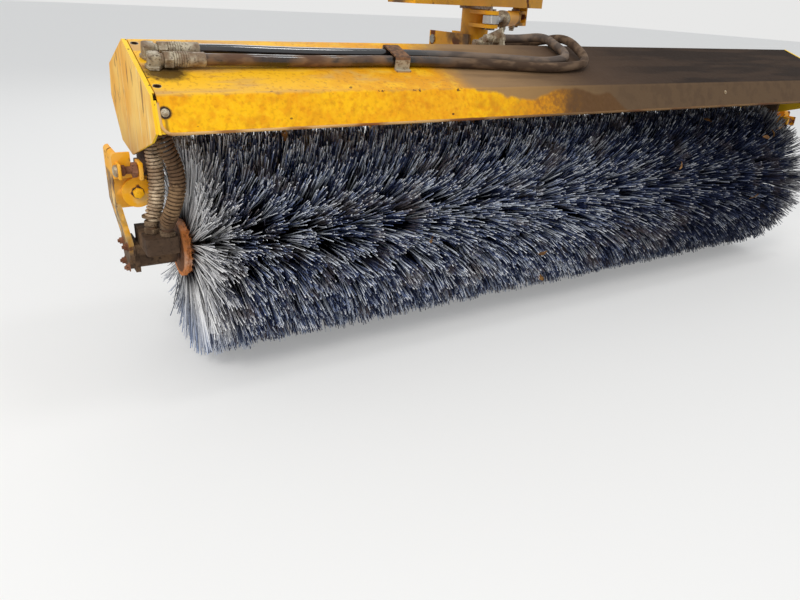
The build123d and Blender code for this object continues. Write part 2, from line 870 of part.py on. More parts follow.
swing_barrel, swing_rod = cylinder_pieces(
    base=(*anchor_point, swing_z),
    tip=(*swing_lug_point, swing_z),
    pin_dir=(0, 0, 1),
    barrel_end=swing_barrel_length,
    rod_start=swing_rod_start,
    eye_radius=swing_eye_radius,
    slack=swing_eye_slack,
)
keep(swing_barrel, "swing_barrel")
keep(swing_rod, "swing_rod")

lift_barrel, lift_rod = cylinder_pieces(
    base=(0, lever_reach, lift_top_z),
    tip=(0, lever_reach, shaft_z),
    pin_dir=(1, 0, 0),
    barrel_end=lift_barrel_length,
    rod_start=lift_rod_start,
    eye_radius=lift_eye_radius,
    slack=lift_eye_slack,
)
keep(lift_barrel, "lift_barrel")
keep(lift_rod, "lift_rod")

# Bulkhead elbows through the hood, one per hose
with BuildPart() as hose_elbows:
    for y in (elbow_rear_y, elbow_front_y):
        foot = slope_plane(elbow_x, y)
        with BuildSketch(foot.offset(weld_gap)):
            RegularPolygon(elbow_nut_radius, 6)
        extrude(amount=elbow_nut_height)
        with BuildSketch(foot.offset(-hood_sheet - elbow_tail)):
            Circle(elbow_radius)
        extrude(amount=hood_sheet + elbow_tail + elbow_rise + elbow_radius)
        way = Plane(
            origin=foot.from_local_coords((-elbow_radius, 0, elbow_rise)),
            x_dir=(0, 1, 0),
            z_dir=(1, 0, 0),
        )
        for start, end, radius in (
            (0, ferrule_start + elbow_radius, elbow_radius),
            (ferrule_start + elbow_radius, ferrule_end + elbow_radius, ferrule_radius),
        ):
            with BuildSketch(way.offset(start)):
                Circle(radius)
            extrude(amount=end - start)
        with BuildSketch(way.offset(swivel_start)):
            RegularPolygon(elbow_nut_radius, 6)
        extrude(amount=swivel_length)
keep(hose_elbows, "hose_elbows")


def on_slope(x_share, y_share, radii):
    """A point over the hood's slope, from its shares of the brush length, from the
    left end, and of the slope's run, and its height in hose radii."""
    seat = slope_plane((x_share - 0.5) * brush_length, y_share * fold_y)
    return seat.from_local_coords((0, 0, radii * hose_radius))


def hose(points, radius, name):
    """A hose of round section along runs joined by the largest arcs they have room for."""
    bends = []
    for before, corner, after in zip(points, points[1:], points[2:]):
        turn = radians((corner - before).get_angle(after - corner))
        shorter = min((corner - before).length, (after - corner).length)
        bends.append(bend_share * shorter / tan(turn / 2))
    with BuildPart() as tube:
        with BuildLine():
            path = FilletPolyline(*points, radius=bends)
        with BuildSketch(Plane(origin=path @ 0, z_dir=path % 0)):
            Circle(radius)
        sweep()
    print(name, "length", round(path.length), "arc radii", [round(bend) for bend in bends])
    keep(tube, name)


ferrule_tip = elbow_x + ferrule_end
hood_hoses = (
    (
        "hose_rear",
        elbow_rear_y,
        [(0.131, -0.372, 1.12), (0.243, -0.376, 1.12), (0.352, -0.45, 1.12), (0.442, -0.56, 1.15),
         (0.487, -0.452, 1.3), (0.49, 0.032, 2.3), (0.471, 0.28, 3.08)],
    ),
    (
        "hose_front",
        elbow_front_y,
        [(0.131, -0.54, 1.12), (0.243, -0.52, 1.12), (0.352, -0.598, 1.12), (0.442, -0.704, 1.15),
         (0.509, -0.61, 1.3), (0.515, -0.024, 2.46), (0.508, 0.36, 2.92), (0.486, 0.496, 3.08)],
    ),
)
for name, y, route in hood_hoses:
    points = [
        slope_plane(x, y).from_local_coords((0, 0, elbow_rise))
        for x in (ferrule_tip, ferrule_tip + hose_exit)
    ]
    points += [on_slope(*spot) for spot in route]
    coupler_seat = slope_plane(coupler_x, route[-1][1] * fold_y)
    points += [coupler_seat.from_local_coords((0, 0, coupler_height))]
    hose(points, hose_radius, name)

# Strap that holds both hoses on the front slope
with BuildPart() as hose_clamp:
    clamp_front = slope_plane(clamp_x - clamp_width / 2, clamp_y)
    clamp_side = Plane(origin=clamp_front.origin, x_dir=clamp_front.y_dir, z_dir=(1, 0, 0))
    with BuildSketch(clamp_side):
        with BuildLine():
            rise = 2 * hose_radius + clamp_round
            strap = FilletPolyline(
                (clamp_top + clamp_foot, weld_gap),
                (clamp_top + clamp_lean, weld_gap),
                (clamp_top, rise),
                (-clamp_top, rise),
                (-clamp_top - clamp_lean, weld_gap),
                (-clamp_top - clamp_foot, weld_gap),
                radius=clamp_round,
            )
            offset(strap, amount=clamp_thickness, side=Side.RIGHT)
        make_face()
    extrude(amount=clamp_width)
keep(hose_clamp, "hose_clamp")

# Coupler bracket behind the ridge, where the supply hoses plug in
coupler_ys = [route[-1][1] * fold_y for name, y, route in hood_hoses]
with BuildPart() as hose_couplers:
    for y in coupler_ys:
        seat = slope_plane(coupler_x, y)
        way = Plane(
            origin=seat.from_local_coords((0, 0, coupler_height)),
            x_dir=(0, 1, 0),
            z_dir=(-1, 0, 0),
        )
        with BuildSketch(way):
            Circle(ferrule_radius)
        extrude(amount=coupler_length)
        with BuildSketch(way.offset(coupler_length)):
            Circle(nipple_radius)
        extrude(amount=nipple_length)
    plate = slope_plane(coupler_x - coupler_length / 2, sum(coupler_ys) / 2)
    upright = Plane(origin=plate.origin, x_dir=plate.y_dir, z_dir=(1, 0, 0))
    with BuildSketch(upright):
        plate_top = coupler_height + ferrule_radius + coupler_plate_top
        with Locations((0, plate_top / 2)):
            Rectangle(coupler_ys[1] - coupler_ys[0] + 2 * coupler_plate_rim, plate_top - 2 * weld_gap)
    extrude(amount=coupler_plate)
keep(hose_couplers, "hose_couplers")

# Spring guarded hoses from the bulkheads to the motor ports: x from the brush's
# left end, y and height from the brush axis
guard_routes = (
    ("guard_hose_left", elbow_rear_y,
     [(-48, -84, 390), (-55, -87, 290), (-51, -84, 215), (-57, -86, 150), (-74, -85, 108)]),
    ("guard_hose_right", elbow_front_y,
     [(-46, -148, 365), (-44, -164, 305), (-24, -165, 255), (-21, -164, 205), (-34, -160, 160),
      (-44, -144, 126), (-46, -120, 104)]),
)
for name, y, route in guard_routes:
    seat = slope_plane(elbow_x, y)
    points = [
        seat.from_local_coords((0, 0, -hood_sheet - drop))
        for drop in (elbow_tail, elbow_tail + guard_exit)
    ]
    points += [Vector(x - brush_end, *from_axis(y_route, z)) for x, y_route, z in route]
    points += [Vector(points[-1].X, points[-1].Y, axis_z + port_block_top)]
    hose(points, guard_radius, name)
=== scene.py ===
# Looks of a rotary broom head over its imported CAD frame: bristles, spring guards,
# hose fittings, bolts, welds and finishes. Metres, in the frame's own axes.

from math import atan2, cos, pi, radians, sin, tan
from random import Random

import bpy
from mathutils import Matrix, Quaternion, Vector


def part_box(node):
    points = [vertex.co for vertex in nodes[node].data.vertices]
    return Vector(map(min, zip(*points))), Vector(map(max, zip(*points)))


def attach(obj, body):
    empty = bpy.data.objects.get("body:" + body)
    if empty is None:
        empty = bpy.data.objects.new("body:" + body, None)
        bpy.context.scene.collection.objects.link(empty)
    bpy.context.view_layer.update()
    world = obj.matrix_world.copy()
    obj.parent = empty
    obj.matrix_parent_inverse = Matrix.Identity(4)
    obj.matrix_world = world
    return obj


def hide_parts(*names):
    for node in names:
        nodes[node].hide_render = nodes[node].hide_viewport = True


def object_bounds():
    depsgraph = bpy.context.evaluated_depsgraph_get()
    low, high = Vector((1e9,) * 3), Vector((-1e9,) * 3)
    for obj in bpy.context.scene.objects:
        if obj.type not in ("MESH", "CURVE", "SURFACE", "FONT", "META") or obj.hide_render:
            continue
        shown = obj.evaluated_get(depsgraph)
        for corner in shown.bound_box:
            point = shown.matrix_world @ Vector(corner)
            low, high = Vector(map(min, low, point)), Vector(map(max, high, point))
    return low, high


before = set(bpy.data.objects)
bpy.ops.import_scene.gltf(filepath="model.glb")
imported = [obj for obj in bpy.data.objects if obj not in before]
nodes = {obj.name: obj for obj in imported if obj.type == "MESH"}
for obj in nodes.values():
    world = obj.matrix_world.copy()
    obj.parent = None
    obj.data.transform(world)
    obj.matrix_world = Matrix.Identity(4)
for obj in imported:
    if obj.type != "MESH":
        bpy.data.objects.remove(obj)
cad_low, cad_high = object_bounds()

# Places that the CAD source names. AXIS_Y and all names in _Z count from the
# frame's origin, other heights and depths on the carriage from the brush axis
AXIS_Y = -0.42
AXIS_Z = -0.7
BRUSH_END = 1.22
CORE_RADIUS = 0.073
BRUSH_RADIUS = 0.305
STRAND_LENGTH = BRUSH_RADIUS - CORE_RADIUS
RIDGE = 0.5085
FOLD_Y = -0.25
FOLD_HEIGHT = 0.42
LIP_Y = -0.276
LIP_HEIGHT = 0.3455
LIP_CORNER = 0.022
HOOD_HALF = 1.288
HOOD_SHEET = 0.005
RIM_X = 1.277
RIM_HOLE_YS = (-0.213, -0.021)
FACE_BOLT_Y = -0.262
FACE_BOLT_HEIGHT = 0.387
CLAMP_X = -0.267 * 2 * BRUSH_END
SLOPE = atan2(RIDGE - FOLD_HEIGHT, -FOLD_Y)
SLOPE_WAY = Vector((0, -sin(SLOPE), cos(SLOPE)))
LIP_Z = AXIS_Z + LIP_HEIGHT
FOLD_Z = AXIS_Z + FOLD_HEIGHT
ELBOW_X = -1.264
ELBOW_YS = (-0.09, -0.136)
ELBOW_RISE = 0.019
PORT_TOP = 0.076
ARM_FACE_Y = -0.0495
BLOCK_HEIGHTS = (0.135, 0.207)
BOSS_FACE_Y = -0.06
BOSS_HEIGHT = 0.171
LEVEL_BOLT_Y = -0.076
LEVEL_BOLT_HEIGHT = 0.23
SHAFT_Z = -0.46
PIVOT_BEAM_ANGLE = radians(26)


def from_axis(x, y, z):
    """A place whose y and z count from the brush axis."""
    return Vector((x, AXIS_Y + y, AXIS_Z + z))


def past_end(side, reach, y, z):
    """A place past the brush's left or right end, by its side's sign."""
    return from_axis(side * (BRUSH_END + reach), y, z)


def on_slope(x, y, rise):
    """A place over the hood's front slope, with its rise square to the sheet."""
    seat = from_axis(x, y, RIDGE + y * tan(SLOPE))
    return seat + SLOPE_WAY * rise


class Wire:
    """A value that a material's nodes work out. Sums on it add Math nodes."""

    def __init__(self, finish, socket):
        self.finish = finish
        self.socket = socket

    def maths(self, operation, *values):
        return self.finish.node("Math", {"operation": operation}, dict(enumerate(values)))

    def __add__(self, other):
        return self.maths("ADD", self, other)

    def __sub__(self, other):
        return self.maths("SUBTRACT", self, other)

    def __rsub__(self, other):
        return self.maths("SUBTRACT", other, self)

    def __mul__(self, other):
        return self.maths("MULTIPLY", self, other)

    def __pow__(self, other):
        return self.maths("POWER", self, other)

    def __abs__(self):
        return self.maths("ABSOLUTE", self)

    __radd__ = __add__
    __rmul__ = __mul__


class Finish:
    """One material, made of nodes on the piece's own coordinates."""

    def __init__(self, name):
        self.material = bpy.data.materials.new(name)
        self.material.use_nodes = True
        self.tree = self.material.node_tree
        self.shader = self.tree.nodes["Principled BSDF"]
        self.spot = self.node("TexCoord", out="Object")
        self.x, self.y, self.z = (
            self.node("SeparateXYZ", sockets={0: self.spot}, out=axis) for axis in "XYZ"
        )

    def node(self, kind, settings=None, sockets=None, out=0):
        """Adds a node, sets it up, feeds its sockets and gives one output."""
        made = self.tree.nodes.new("ShaderNode" + kind)
        for name, value in (settings or {}).items():
            setattr(made, name, value)
        self.feed(made, sockets or {})
        return Wire(self, made.outputs[out])

    def feed(self, node, sockets):
        for name, value in sockets.items():
            if isinstance(value, Wire):
                self.tree.links.new(value.socket, node.inputs[name])
            else:
                node.inputs[name].default_value = value

    def scaled(self, size, stretch, shift):
        """The piece's coordinates in steps of size, longer along an axis whose
        stretch is above 1."""
        return self.node(
            "Mapping",
            sockets={
                "Vector": self.spot,
                "Location": (shift, shift, shift),
                "Scale": [1 / size / s for s in stretch],
            },
        )

    def grain(self, size, stretch=(1, 1, 1), detail=4.0, shift=0.0):
        """Noise round 0.5 with patches about size across."""
        place = self.scaled(size, stretch, shift)
        return self.node("TexNoise", sockets={"Vector": place, "Scale": 1.0, "Detail": detail})

    def specks(self, size, stretch=(1, 1, 1)):
        """Distance to the nearest of the points scattered about size apart."""
        place = self.scaled(size, stretch, 0.0)
        return self.node("TexVoronoi", sockets={"Vector": place, "Scale": 1.0})

    def rise(self, value, low, high):
        """0 below low, 1 above high and smooth between."""
        return self.node(
            "MapRange",
            {"interpolation_type": "SMOOTHSTEP"},
            {"Value": value, "From Min": low, "From Max": high},
        )

    def fall(self, value, low, high):
        return 1 - self.rise(value, low, high)

    def most(self, first, second):
        return self.node("Math", {"operation": "MAXIMUM"}, {0: first, 1: second})

    def away(self, centre, squash=(1, 1, 1)):
        """Distance from a place, with each axis counted by its squash."""
        dx, dy, dz = (
            (axis - place) * share
            for axis, place, share in zip((self.x, self.y, self.z), centre, squash)
        )
        return (dx * dx + dy * dy + dz * dz) ** 0.5

    def off_brush_axis(self):
        """Distance from the brush axis."""
        dy, dz = self.y - AXIS_Y, self.z - AXIS_Z
        return (dy * dy + dz * dz) ** 0.5

    def mix(self, base, top, share):
        """The top colour over the base, by share."""
        return self.node("Mix", {"data_type": "RGBA"}, {0: share, 6: base, 7: top}, out=2)

    def bump(self, height, depth):
        return self.node("Bump", sockets={"Height": height, "Distance": depth, "Strength": 1.0})

    def done(self, **sockets):
        self.feed(self.shader, {name.replace("_", " "): value for name, value in sockets.items()})
        return self.material


def tone(red, green, blue):
    """Scene colour of a display colour from 0 to 255."""
    return [((c / 255 + 0.055) / 1.055) ** 2.4 for c in (red, green, blue)] + [1.0]


# Camera, floor and light
camera_data = bpy.data.cameras.new("camera")
camera_data.lens = 29.823
camera_data.sensor_width = 36
camera = bpy.data.objects.new("camera", camera_data)
bpy.context.scene.collection.objects.link(camera)
camera.matrix_world = (
    Matrix.Translation((-1.58888, -2.10999, -0.07246))
    @ Matrix.Rotation(radians(-32.2948), 4, "Z")
    @ Matrix.Rotation(radians(90 - 24.6001), 4, "X")
    @ Matrix.Rotation(radians(3.2537), 4, "Z")
)
bpy.context.scene.camera = camera

# The floor glows a little for the camera alone, so that it shows paler than it lights
FLOOR_GAP = 0.0005
bpy.ops.object.select_all(action="DESELECT")
bpy.ops.mesh.primitive_plane_add(size=60, location=(0, 0, cad_low.z - FLOOR_GAP))
floor = bpy.context.object
floor.name = "floor"
pale_floor = Finish("floor")
seen = pale_floor.node("LightPath", out="Is Camera Ray")
floor.data.materials.append(
    pale_floor.done(
        Base_Color=tone(206, 205, 203),
        Roughness=0.9,
        Specular_IOR_Level=0.1,
        Emission_Color=pale_floor.mix((0, 0, 0, 1), (0.26, 0.26, 0.26, 1), seen),
        Emission_Strength=1.0,
    )
)

# The sky lights the head at one strength and shows brighter behind it
SKY_LIGHT = (0.94, 0.97, 1.0, 1.0)
SKY_SEEN = (1.22, 1.22, 1.21, 1.0)
bpy.context.scene.view_settings.view_transform = "Standard"
world = bpy.data.worlds.new("world")
bpy.context.scene.world = world
world.use_nodes = True
sky = world.node_tree.nodes["Background"]
sky.inputs["Strength"].default_value = 0.66
sky_shown = world.node_tree.nodes.new("ShaderNodeMix")
sky_shown.data_type = "RGBA"
sky_shown.inputs[6].default_value = SKY_LIGHT
sky_shown.inputs[7].default_value = SKY_SEEN
sky_rays = world.node_tree.nodes.new("ShaderNodeLightPath")
world.node_tree.links.new(sky_rays.outputs["Is Camera Ray"], sky_shown.inputs[0])
world.node_tree.links.new(sky_shown.outputs[2], sky.inputs["Color"])


def lamp(name, place, aim, size, power, colour=(1, 1, 1)):
    """A round lamp of a size across, aimed at a place."""
    data = bpy.data.lights.new(name, "AREA")
    data.shape = "DISK"
    data.size = size
    data.energy = power
    data.color = colour
    made = bpy.data.objects.new(name, data)
    bpy.context.scene.collection.objects.link(made)
    made.location = place
    made.rotation_euler = (Vector(aim) - Vector(place)).to_track_quat("-Z", "Y").to_euler()


lamp("key", (-3.5, -2.9, 3.0), (0, -0.4, -0.6), 1.8, 90, (1.0, 0.98, 0.95))
lamp("fill", (3.6, -2.6, 2.2), (0, -0.4, -0.6), 3.0, 22)
lamp("top", (0.6, -1.2, 3.4), (-0.8, -0.5, -0.2), 0.9, 20)
lamp("side", (-4.0, -0.7, 0.5), (-1.3, -0.4, -0.4), 1.2, 8)
lamp("low", (-1.9, -3.2, -0.45), (-0.4, -0.6, -0.6), 0.6, 6)
lamp("back", (0.5, 3.6, 2.6), (0, 0, -0.4), 3.0, 34)


# Modelling helpers
def start(add, name, **settings):
    """Adds a primitive with nothing else selected."""
    bpy.ops.object.select_all(action="DESELECT")
    add(**settings)
    piece = bpy.context.object
    piece.name = name
    return piece


def pick(*pieces):
    """Selects pieces alone, the first one active."""
    bpy.ops.object.select_all(action="DESELECT")
    for piece in pieces:
        piece.select_set(True)
    bpy.context.view_layer.objects.active = pieces[0]


def join(pieces, name):
    """Makes pieces one, with its place in its mesh."""
    pick(*pieces)
    if len(pieces) > 1:
        bpy.ops.object.join()
    piece = bpy.context.object
    piece.name = name
    bpy.ops.object.transform_apply(location=True, rotation=True, scale=True)
    return piece


def copy(piece, place):
    """A copy with its own mesh, at a place."""
    made = piece.copy()
    made.data = piece.data.copy()
    made.matrix_world = place
    bpy.context.scene.collection.objects.link(made)
    return made


def clear(pieces):
    for piece in pieces:
        bpy.data.objects.remove(piece)


def turned(angle, axis):
    return Matrix.Rotation(angle, 4, axis)


def moved(x, y, z):
    return Matrix.Translation((x, y, z))


def facing(place, way, spin=0.0):
    """Puts a piece's foot at a place and its top along a way."""
    aim = Vector(way).to_track_quat("Z", "Y").to_matrix().to_4x4()
    return Matrix.Translation(place) @ aim @ turned(spin, "Z")


def lathe(name, profile, sides=24):
    """A turned piece, pulled from a disc through its (radius, height) steps."""
    radius, height = profile[0]
    piece = start(
        bpy.ops.mesh.primitive_circle_add, name, vertices=sides, radius=radius,
        fill_type="NGON", location=(0, 0, height),
    )
    bpy.ops.object.transform_apply(location=True)
    bpy.ops.object.mode_set(mode="EDIT")
    bpy.ops.mesh.select_all(action="SELECT")
    for new_radius, new_height in profile[1:]:
        bpy.ops.mesh.extrude_region_move(
            TRANSFORM_OT_translate={"value": (0, 0, new_height - height)}
        )
        share = new_radius / radius
        bpy.ops.transform.resize(value=(share, share, 1), center_override=(0, 0, new_height))
        radius, height = new_radius, new_height
    bpy.ops.mesh.select_all(action="SELECT")
    bpy.ops.mesh.normals_make_consistent(inside=False)
    bpy.ops.object.mode_set(mode="OBJECT")
    return piece


def hexagon(name, radius, height):
    """A nut or bolt head with its corners turned off at both ends."""
    chamfer = radius * 0.08
    return lathe(
        name,
        [(radius * 0.9, 0), (radius, chamfer), (radius, height - chamfer), (radius * 0.86, height)],
        sides=6,
    )


def washer(name, radius, height):
    """A plain washer with its upper edge broken."""
    return lathe(name, [(radius, 0), (radius, height * 0.7), (radius * 0.94, height)])


def threaded(name, radius, low, high):
    """A rod with grooves for a thread."""
    pitch = 0.003
    groove = radius * 0.88
    profile = []
    for turn in range(max(1, round((high - low) / pitch))):
        foot = low + turn * pitch
        profile += [(groove, foot), (radius, foot + pitch * 0.5)]
    return lathe(name, profile + [(groove, high)], sides=14)


def bolt(name, radius, height, shank):
    """A nut on its washer, with the bolt's threaded end standing out of it."""
    plate = height * 0.25
    top = plate + height
    nut = hexagon("nut", radius, height)
    parts = [
        washer("washer", radius * 1.35, plate),
        copy(nut, moved(0, 0, plate)),
        threaded("end", radius * 0.55, top, top + shank),
    ]
    clear([nut])
    return join(parts, name)


def block(name, size, bevel, place):
    """A block with rounded edges."""
    piece = start(bpy.ops.mesh.primitive_cube_add, name, size=1)
    piece.scale = size
    bpy.ops.object.transform_apply(scale=True)
    rounding = piece.modifiers.new("round", "BEVEL")
    rounding.width = bevel
    rounding.segments = 3
    bpy.ops.object.modifier_apply(modifier="round")
    piece.matrix_world = place
    return piece


def line_of(name, points, kind="POLY", sizes=None):
    """A curve through or near points, with a size at each if given."""
    data = bpy.data.curves.new(name, "CURVE")
    data.dimensions = "3D"
    data.resolution_u = 24
    line = data.splines.new(kind)
    line.points.add(len(points) - 1)
    for index, point in enumerate(points):
        line.points[index].co = (*point, 1)
        line.points[index].radius = sizes[index] if sizes else 1
    if kind == "NURBS":
        line.order_u = 3
        line.use_endpoint_u = True
    made = bpy.data.objects.new(name, data)
    bpy.context.scene.collection.objects.link(made)
    return made


def tube(name, points, radius, kind="POLY", sizes=None, rounds=1):
    """A round tube along points, as a mesh."""
    piece = line_of(name, points, kind, sizes)
    piece.data.bevel_depth = radius
    piece.data.bevel_resolution = rounds
    piece.data.use_fill_caps = True
    pick(piece)
    bpy.ops.object.convert(target="MESH")
    return bpy.context.object


def smooth_way(points):
    """Places along the smooth curve that a route's points pull."""
    curve = line_of("way", points, "NURBS")
    mesh = bpy.data.meshes.new_from_object(curve)
    places = [vertex.co.copy() for vertex in mesh.vertices]
    bpy.data.meshes.remove(mesh)
    clear([curve])
    return places


def stepped(corners):
    """Places a short step apart along straight runs."""
    step = 0.006
    places = [Vector(corners[0])]
    for before, after in zip(corners, corners[1:]):
        run = Vector(after) - Vector(before)
        count = max(1, round(run.length / step))
        places += [Vector(before) + run * (i + 1) / count for i in range(count)]
    return places


def ring_of(centre, radius, axis):
    """Places round a circle about an axis, closed."""
    count = 48
    aim = facing(centre, axis)
    angles = [2 * pi * index / count for index in range(count + 1)]
    return [aim @ Vector((radius * cos(angle), radius * sin(angle), 0)) for angle in angles]


def outfit(name, pieces, material, replaces=(), smooth=35, body="carriage"):
    """Joins pieces and gives the one its material, smooth faces and body."""
    piece = join(pieces, name)
    if smooth:
        bpy.ops.object.shade_smooth_by_angle(angle=radians(smooth))
    piece.data.materials.clear()
    piece.data.materials.append(material)
    if replaces:
        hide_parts(*replaces)
    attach(piece, body)


def dress(material, *names):
    """Gives CAD nodes a material."""
    for name in names:
        for slot in nodes[name].material_slots:
            slot.material = material


# Finishes
class HoodSheet(Finish):
    """The hood's material, with the grains and zones that its layers share."""

    def __init__(self):
        super().__init__("hood_paint")
        self.fine = self.grain(0.01, detail=6.0)
        self.small = self.grain(0.035, detail=6.0)
        self.broad = self.grain(0.2)
        self.streak = self.grain(0.05, (7, 1, 1), 6.0)
        fold_y = AXIS_Y + FOLD_Y
        self.level = (self.z - LIP_Z) * (1 / (FOLD_Z - LIP_Z))
        self.slope = self.rise(self.y, fold_y - 0.001, fold_y + 0.004)
        self.face = 1 - self.slope
        wavering = self.grain(0.13, detail=7.0)
        self.ragged_x = self.x + 0.14 * (wavering - 0.5) + 0.05 * (self.small - 0.5)
        self.past = self.rise(self.ragged_x, -0.57, -0.43)


def face_paint(f):
    """Fresh yellow with darker and paler mottling."""
    paint = f.mix(tone(240, 168, 1), tone(250, 188, 1), f.rise(f.broad, 0.35, 0.6))
    paint = f.mix(paint, tone(208, 132, 6), f.rise(f.small, 0.5, 0.7) * 0.5)
    mottles = f.rise(f.grain(0.018, detail=9.0), 0.47, 0.6)
    paint = f.mix(paint, tone(236, 152, 0), mottles * 0.5)
    paint = f.mix(paint, tone(255, 208, 40), f.rise(f.fine, 0.52, 0.66) * 0.25)
    return f.mix(paint, tone(186, 112, 6), f.fall(f.fine, 0.34, 0.48) * 0.3)


def slope_paint(f):
    """Bleached paint, streaked along the hood and fresher toward its middle."""
    paint = f.mix(tone(244, 186, 32), tone(204, 158, 88), f.rise(f.streak, 0.45, 0.62))
    fresher = f.rise(f.x, -1.1, -0.7) * f.rise(f.small, 0.3, 0.56)
    paint = f.mix(paint, tone(228, 156, 6), fresher)
    return f.mix(paint, tone(190, 122, 20), f.fall(f.fine, 0.34, 0.46) * 0.5)


def slope_dust_and_shadow(f):
    """Dust on the slopes, darker toward the right, where painted shadow of the machine's frame above
    lies over the dust.
    """
    dust = f.mix(tone(146, 116, 82), tone(82, 62, 46), f.rise(f.ragged_x, -0.45, 0.0))
    # Painted shadow of the machine's frame over the right of the slopes, on darker dust.
    dust_and_frame_shadow = f.rise(f.x + 0.3 * (f.broad - 0.5), -0.2, 0.4)
    dust = f.mix(dust, tone(34, 22, 14), dust_and_frame_shadow * 0.92)
    return f.mix(dust, tone(76, 57, 42), f.rise(f.streak, 0.45, 0.62) * 0.4)


def face_dust_and_shadow(f):
    """Dust on the face, darker and patchy toward the right, partly dust and partly painted shade of the
    machine's frame above.
    """
    dust = f.mix(tone(160, 124, 78), tone(98, 77, 56), f.rise(f.ragged_x, -0.45, 0.1))
    # Darker patches toward the right, partly painted shade of the machine's frame above.
    patches = f.rise(f.small, 0.46, 0.64) * f.rise(f.x, -0.2, 0.3)
    return f.mix(dust, tone(76, 58, 44), patches * 0.35)


def face_dust_cover(f):
    """Where the face is dusty: above a line that dips, humps over the stain and
    falls to the lip at the right."""
    dip = 0.45 * f.rise(f.x, -0.53, -0.3) + 0.65 * f.rise(f.x, 0.01, 0.11)
    broad_hump = 0.33 * f.fall(abs(f.x + 0.15), 0.01, 0.15)
    small_hump = 0.14 * f.fall(abs(f.x), 0.0, 0.05)
    line = 1.0 - dip + broad_hump + small_hump + 0.2 * (f.grain(0.045) - 0.5)
    softened = 0.3 * (f.small - 0.5) * f.fall(f.x, -0.34, -0.24)
    above = f.rise(f.level - line + softened, -0.05, 0.09)
    return above * f.most(f.face, f.past)


def stained(f, paint):
    """Orange mottling on the face, then the brown stain right of it."""
    small, fine = f.small - 0.5, f.fine - 0.5
    mottled = f.rise(f.x + 0.2 * small, -0.5, -0.2) * f.face
    shade = f.rise(f.fine + 0.5 * f.small, 0.58, 0.92)
    paint = f.mix(paint, f.mix(tone(212, 140, 24), tone(166, 104, 34), shade), mottled * 0.9)
    stain = f.rise(f.x + 0.12 * small + 0.05 * fine, -0.28, -0.11) * f.face
    return f.mix(paint, f.mix(tone(66, 46, 30), tone(104, 76, 50), f.fine), stain * 0.95)


def patch_under_elbows(f):
    """Where the hood is darker just below the elbows."""
    under_elbows = f.away(from_axis(-1.245, -0.158, 0.455), (0.8, 1, 1))
    return f.fall(under_elbows + 0.03 * (f.fine - 0.5), 0.022, 0.05)


def bolt_mark(f):
    """A ring of dirt round the left face bolt and a run of it down the face."""
    fine = f.fine - 0.5
    from_bolt = f.away(from_axis(-RIM_X, FACE_BOLT_Y, FACE_BOLT_HEIGHT))
    ring = f.fall(from_bolt + 0.006 * fine, 0.011, 0.016)
    beside = f.fall(abs(f.x + RIM_X) + 0.004 * fine, 0.001, 0.006)
    return f.most(ring, beside * f.fall(f.level, 0.4, 0.6) * f.face * 0.6)


def chips(f):
    """Chips in the clean paint, most of them along the fold."""
    scattered = f.fall(f.specks(0.024, (1.6, 1, 1)), 0.08, 0.13) * f.rise(f.grain(0.1), 0.53, 0.6)
    fold = f.fall(abs(f.z - FOLD_Z) + 0.02 * (f.small - 0.5), 0.003, 0.006)
    folded = fold * f.rise(f.grain(0.02, shift=9.0), 0.64, 0.68)
    return f.most(scattered, folded) * (1 - f.past)


def holed(f, paint):
    """Holes by the left end, dark with painted shade, each in a pale chipped edge."""
    for y in RIM_HOLE_YS:
        hole = f.away(on_slope(-RIM_X, y, 0)) + 0.005 * (f.fine - 0.5)
        paint = f.mix(paint, tone(226, 206, 160), f.fall(hole, 0.0088, 0.0098) * 0.8)
        # Painted shade in each hole.
        paint = f.mix(paint, tone(60, 40, 28), f.fall(hole, 0.0078, 0.0092))
    return paint


def hood_sheet_paint():
    """Yellow paint that turns to brown dust along the hood, with a stain, painted shade of the machine's
    frame toward the right and a darker, glossier patch below the elbows.
    """
    f = HoodSheet()
    paint = stained(f, f.mix(face_paint(f), slope_paint(f), f.slope))
    paint = f.mix(paint, face_dust_and_shadow(f), face_dust_cover(f))
    paint = f.mix(paint, slope_dust_and_shadow(f), f.past * f.slope)
    # Darker and glossier just below the elbows.
    elbow_patch = patch_under_elbows(f)
    paint = f.mix(paint, tone(58, 44, 32), elbow_patch * 0.9)
    paint = holed(f, f.mix(paint, tone(52, 36, 26), bolt_mark(f)))
    chipped = chips(f)
    paint = f.mix(paint, tone(82, 46, 22), chipped)
    worn_lip = f.fall(f.level, 0.03, 0.07) * f.rise(f.small, 0.45, 0.6)
    paint = f.mix(paint, tone(150, 96, 44), worn_lip * 0.8)
    return f.done(
        Base_Color=paint,
        Roughness=0.5 + 0.35 * f.past + 0.2 * (f.fine - 0.5) - 0.25 * elbow_patch,
        Specular_IOR_Level=0.22,
        Normal=f.bump(f.fine * 0.4 + f.grain(0.12) * 2 - chipped * 0.5, 0.0012),
    )


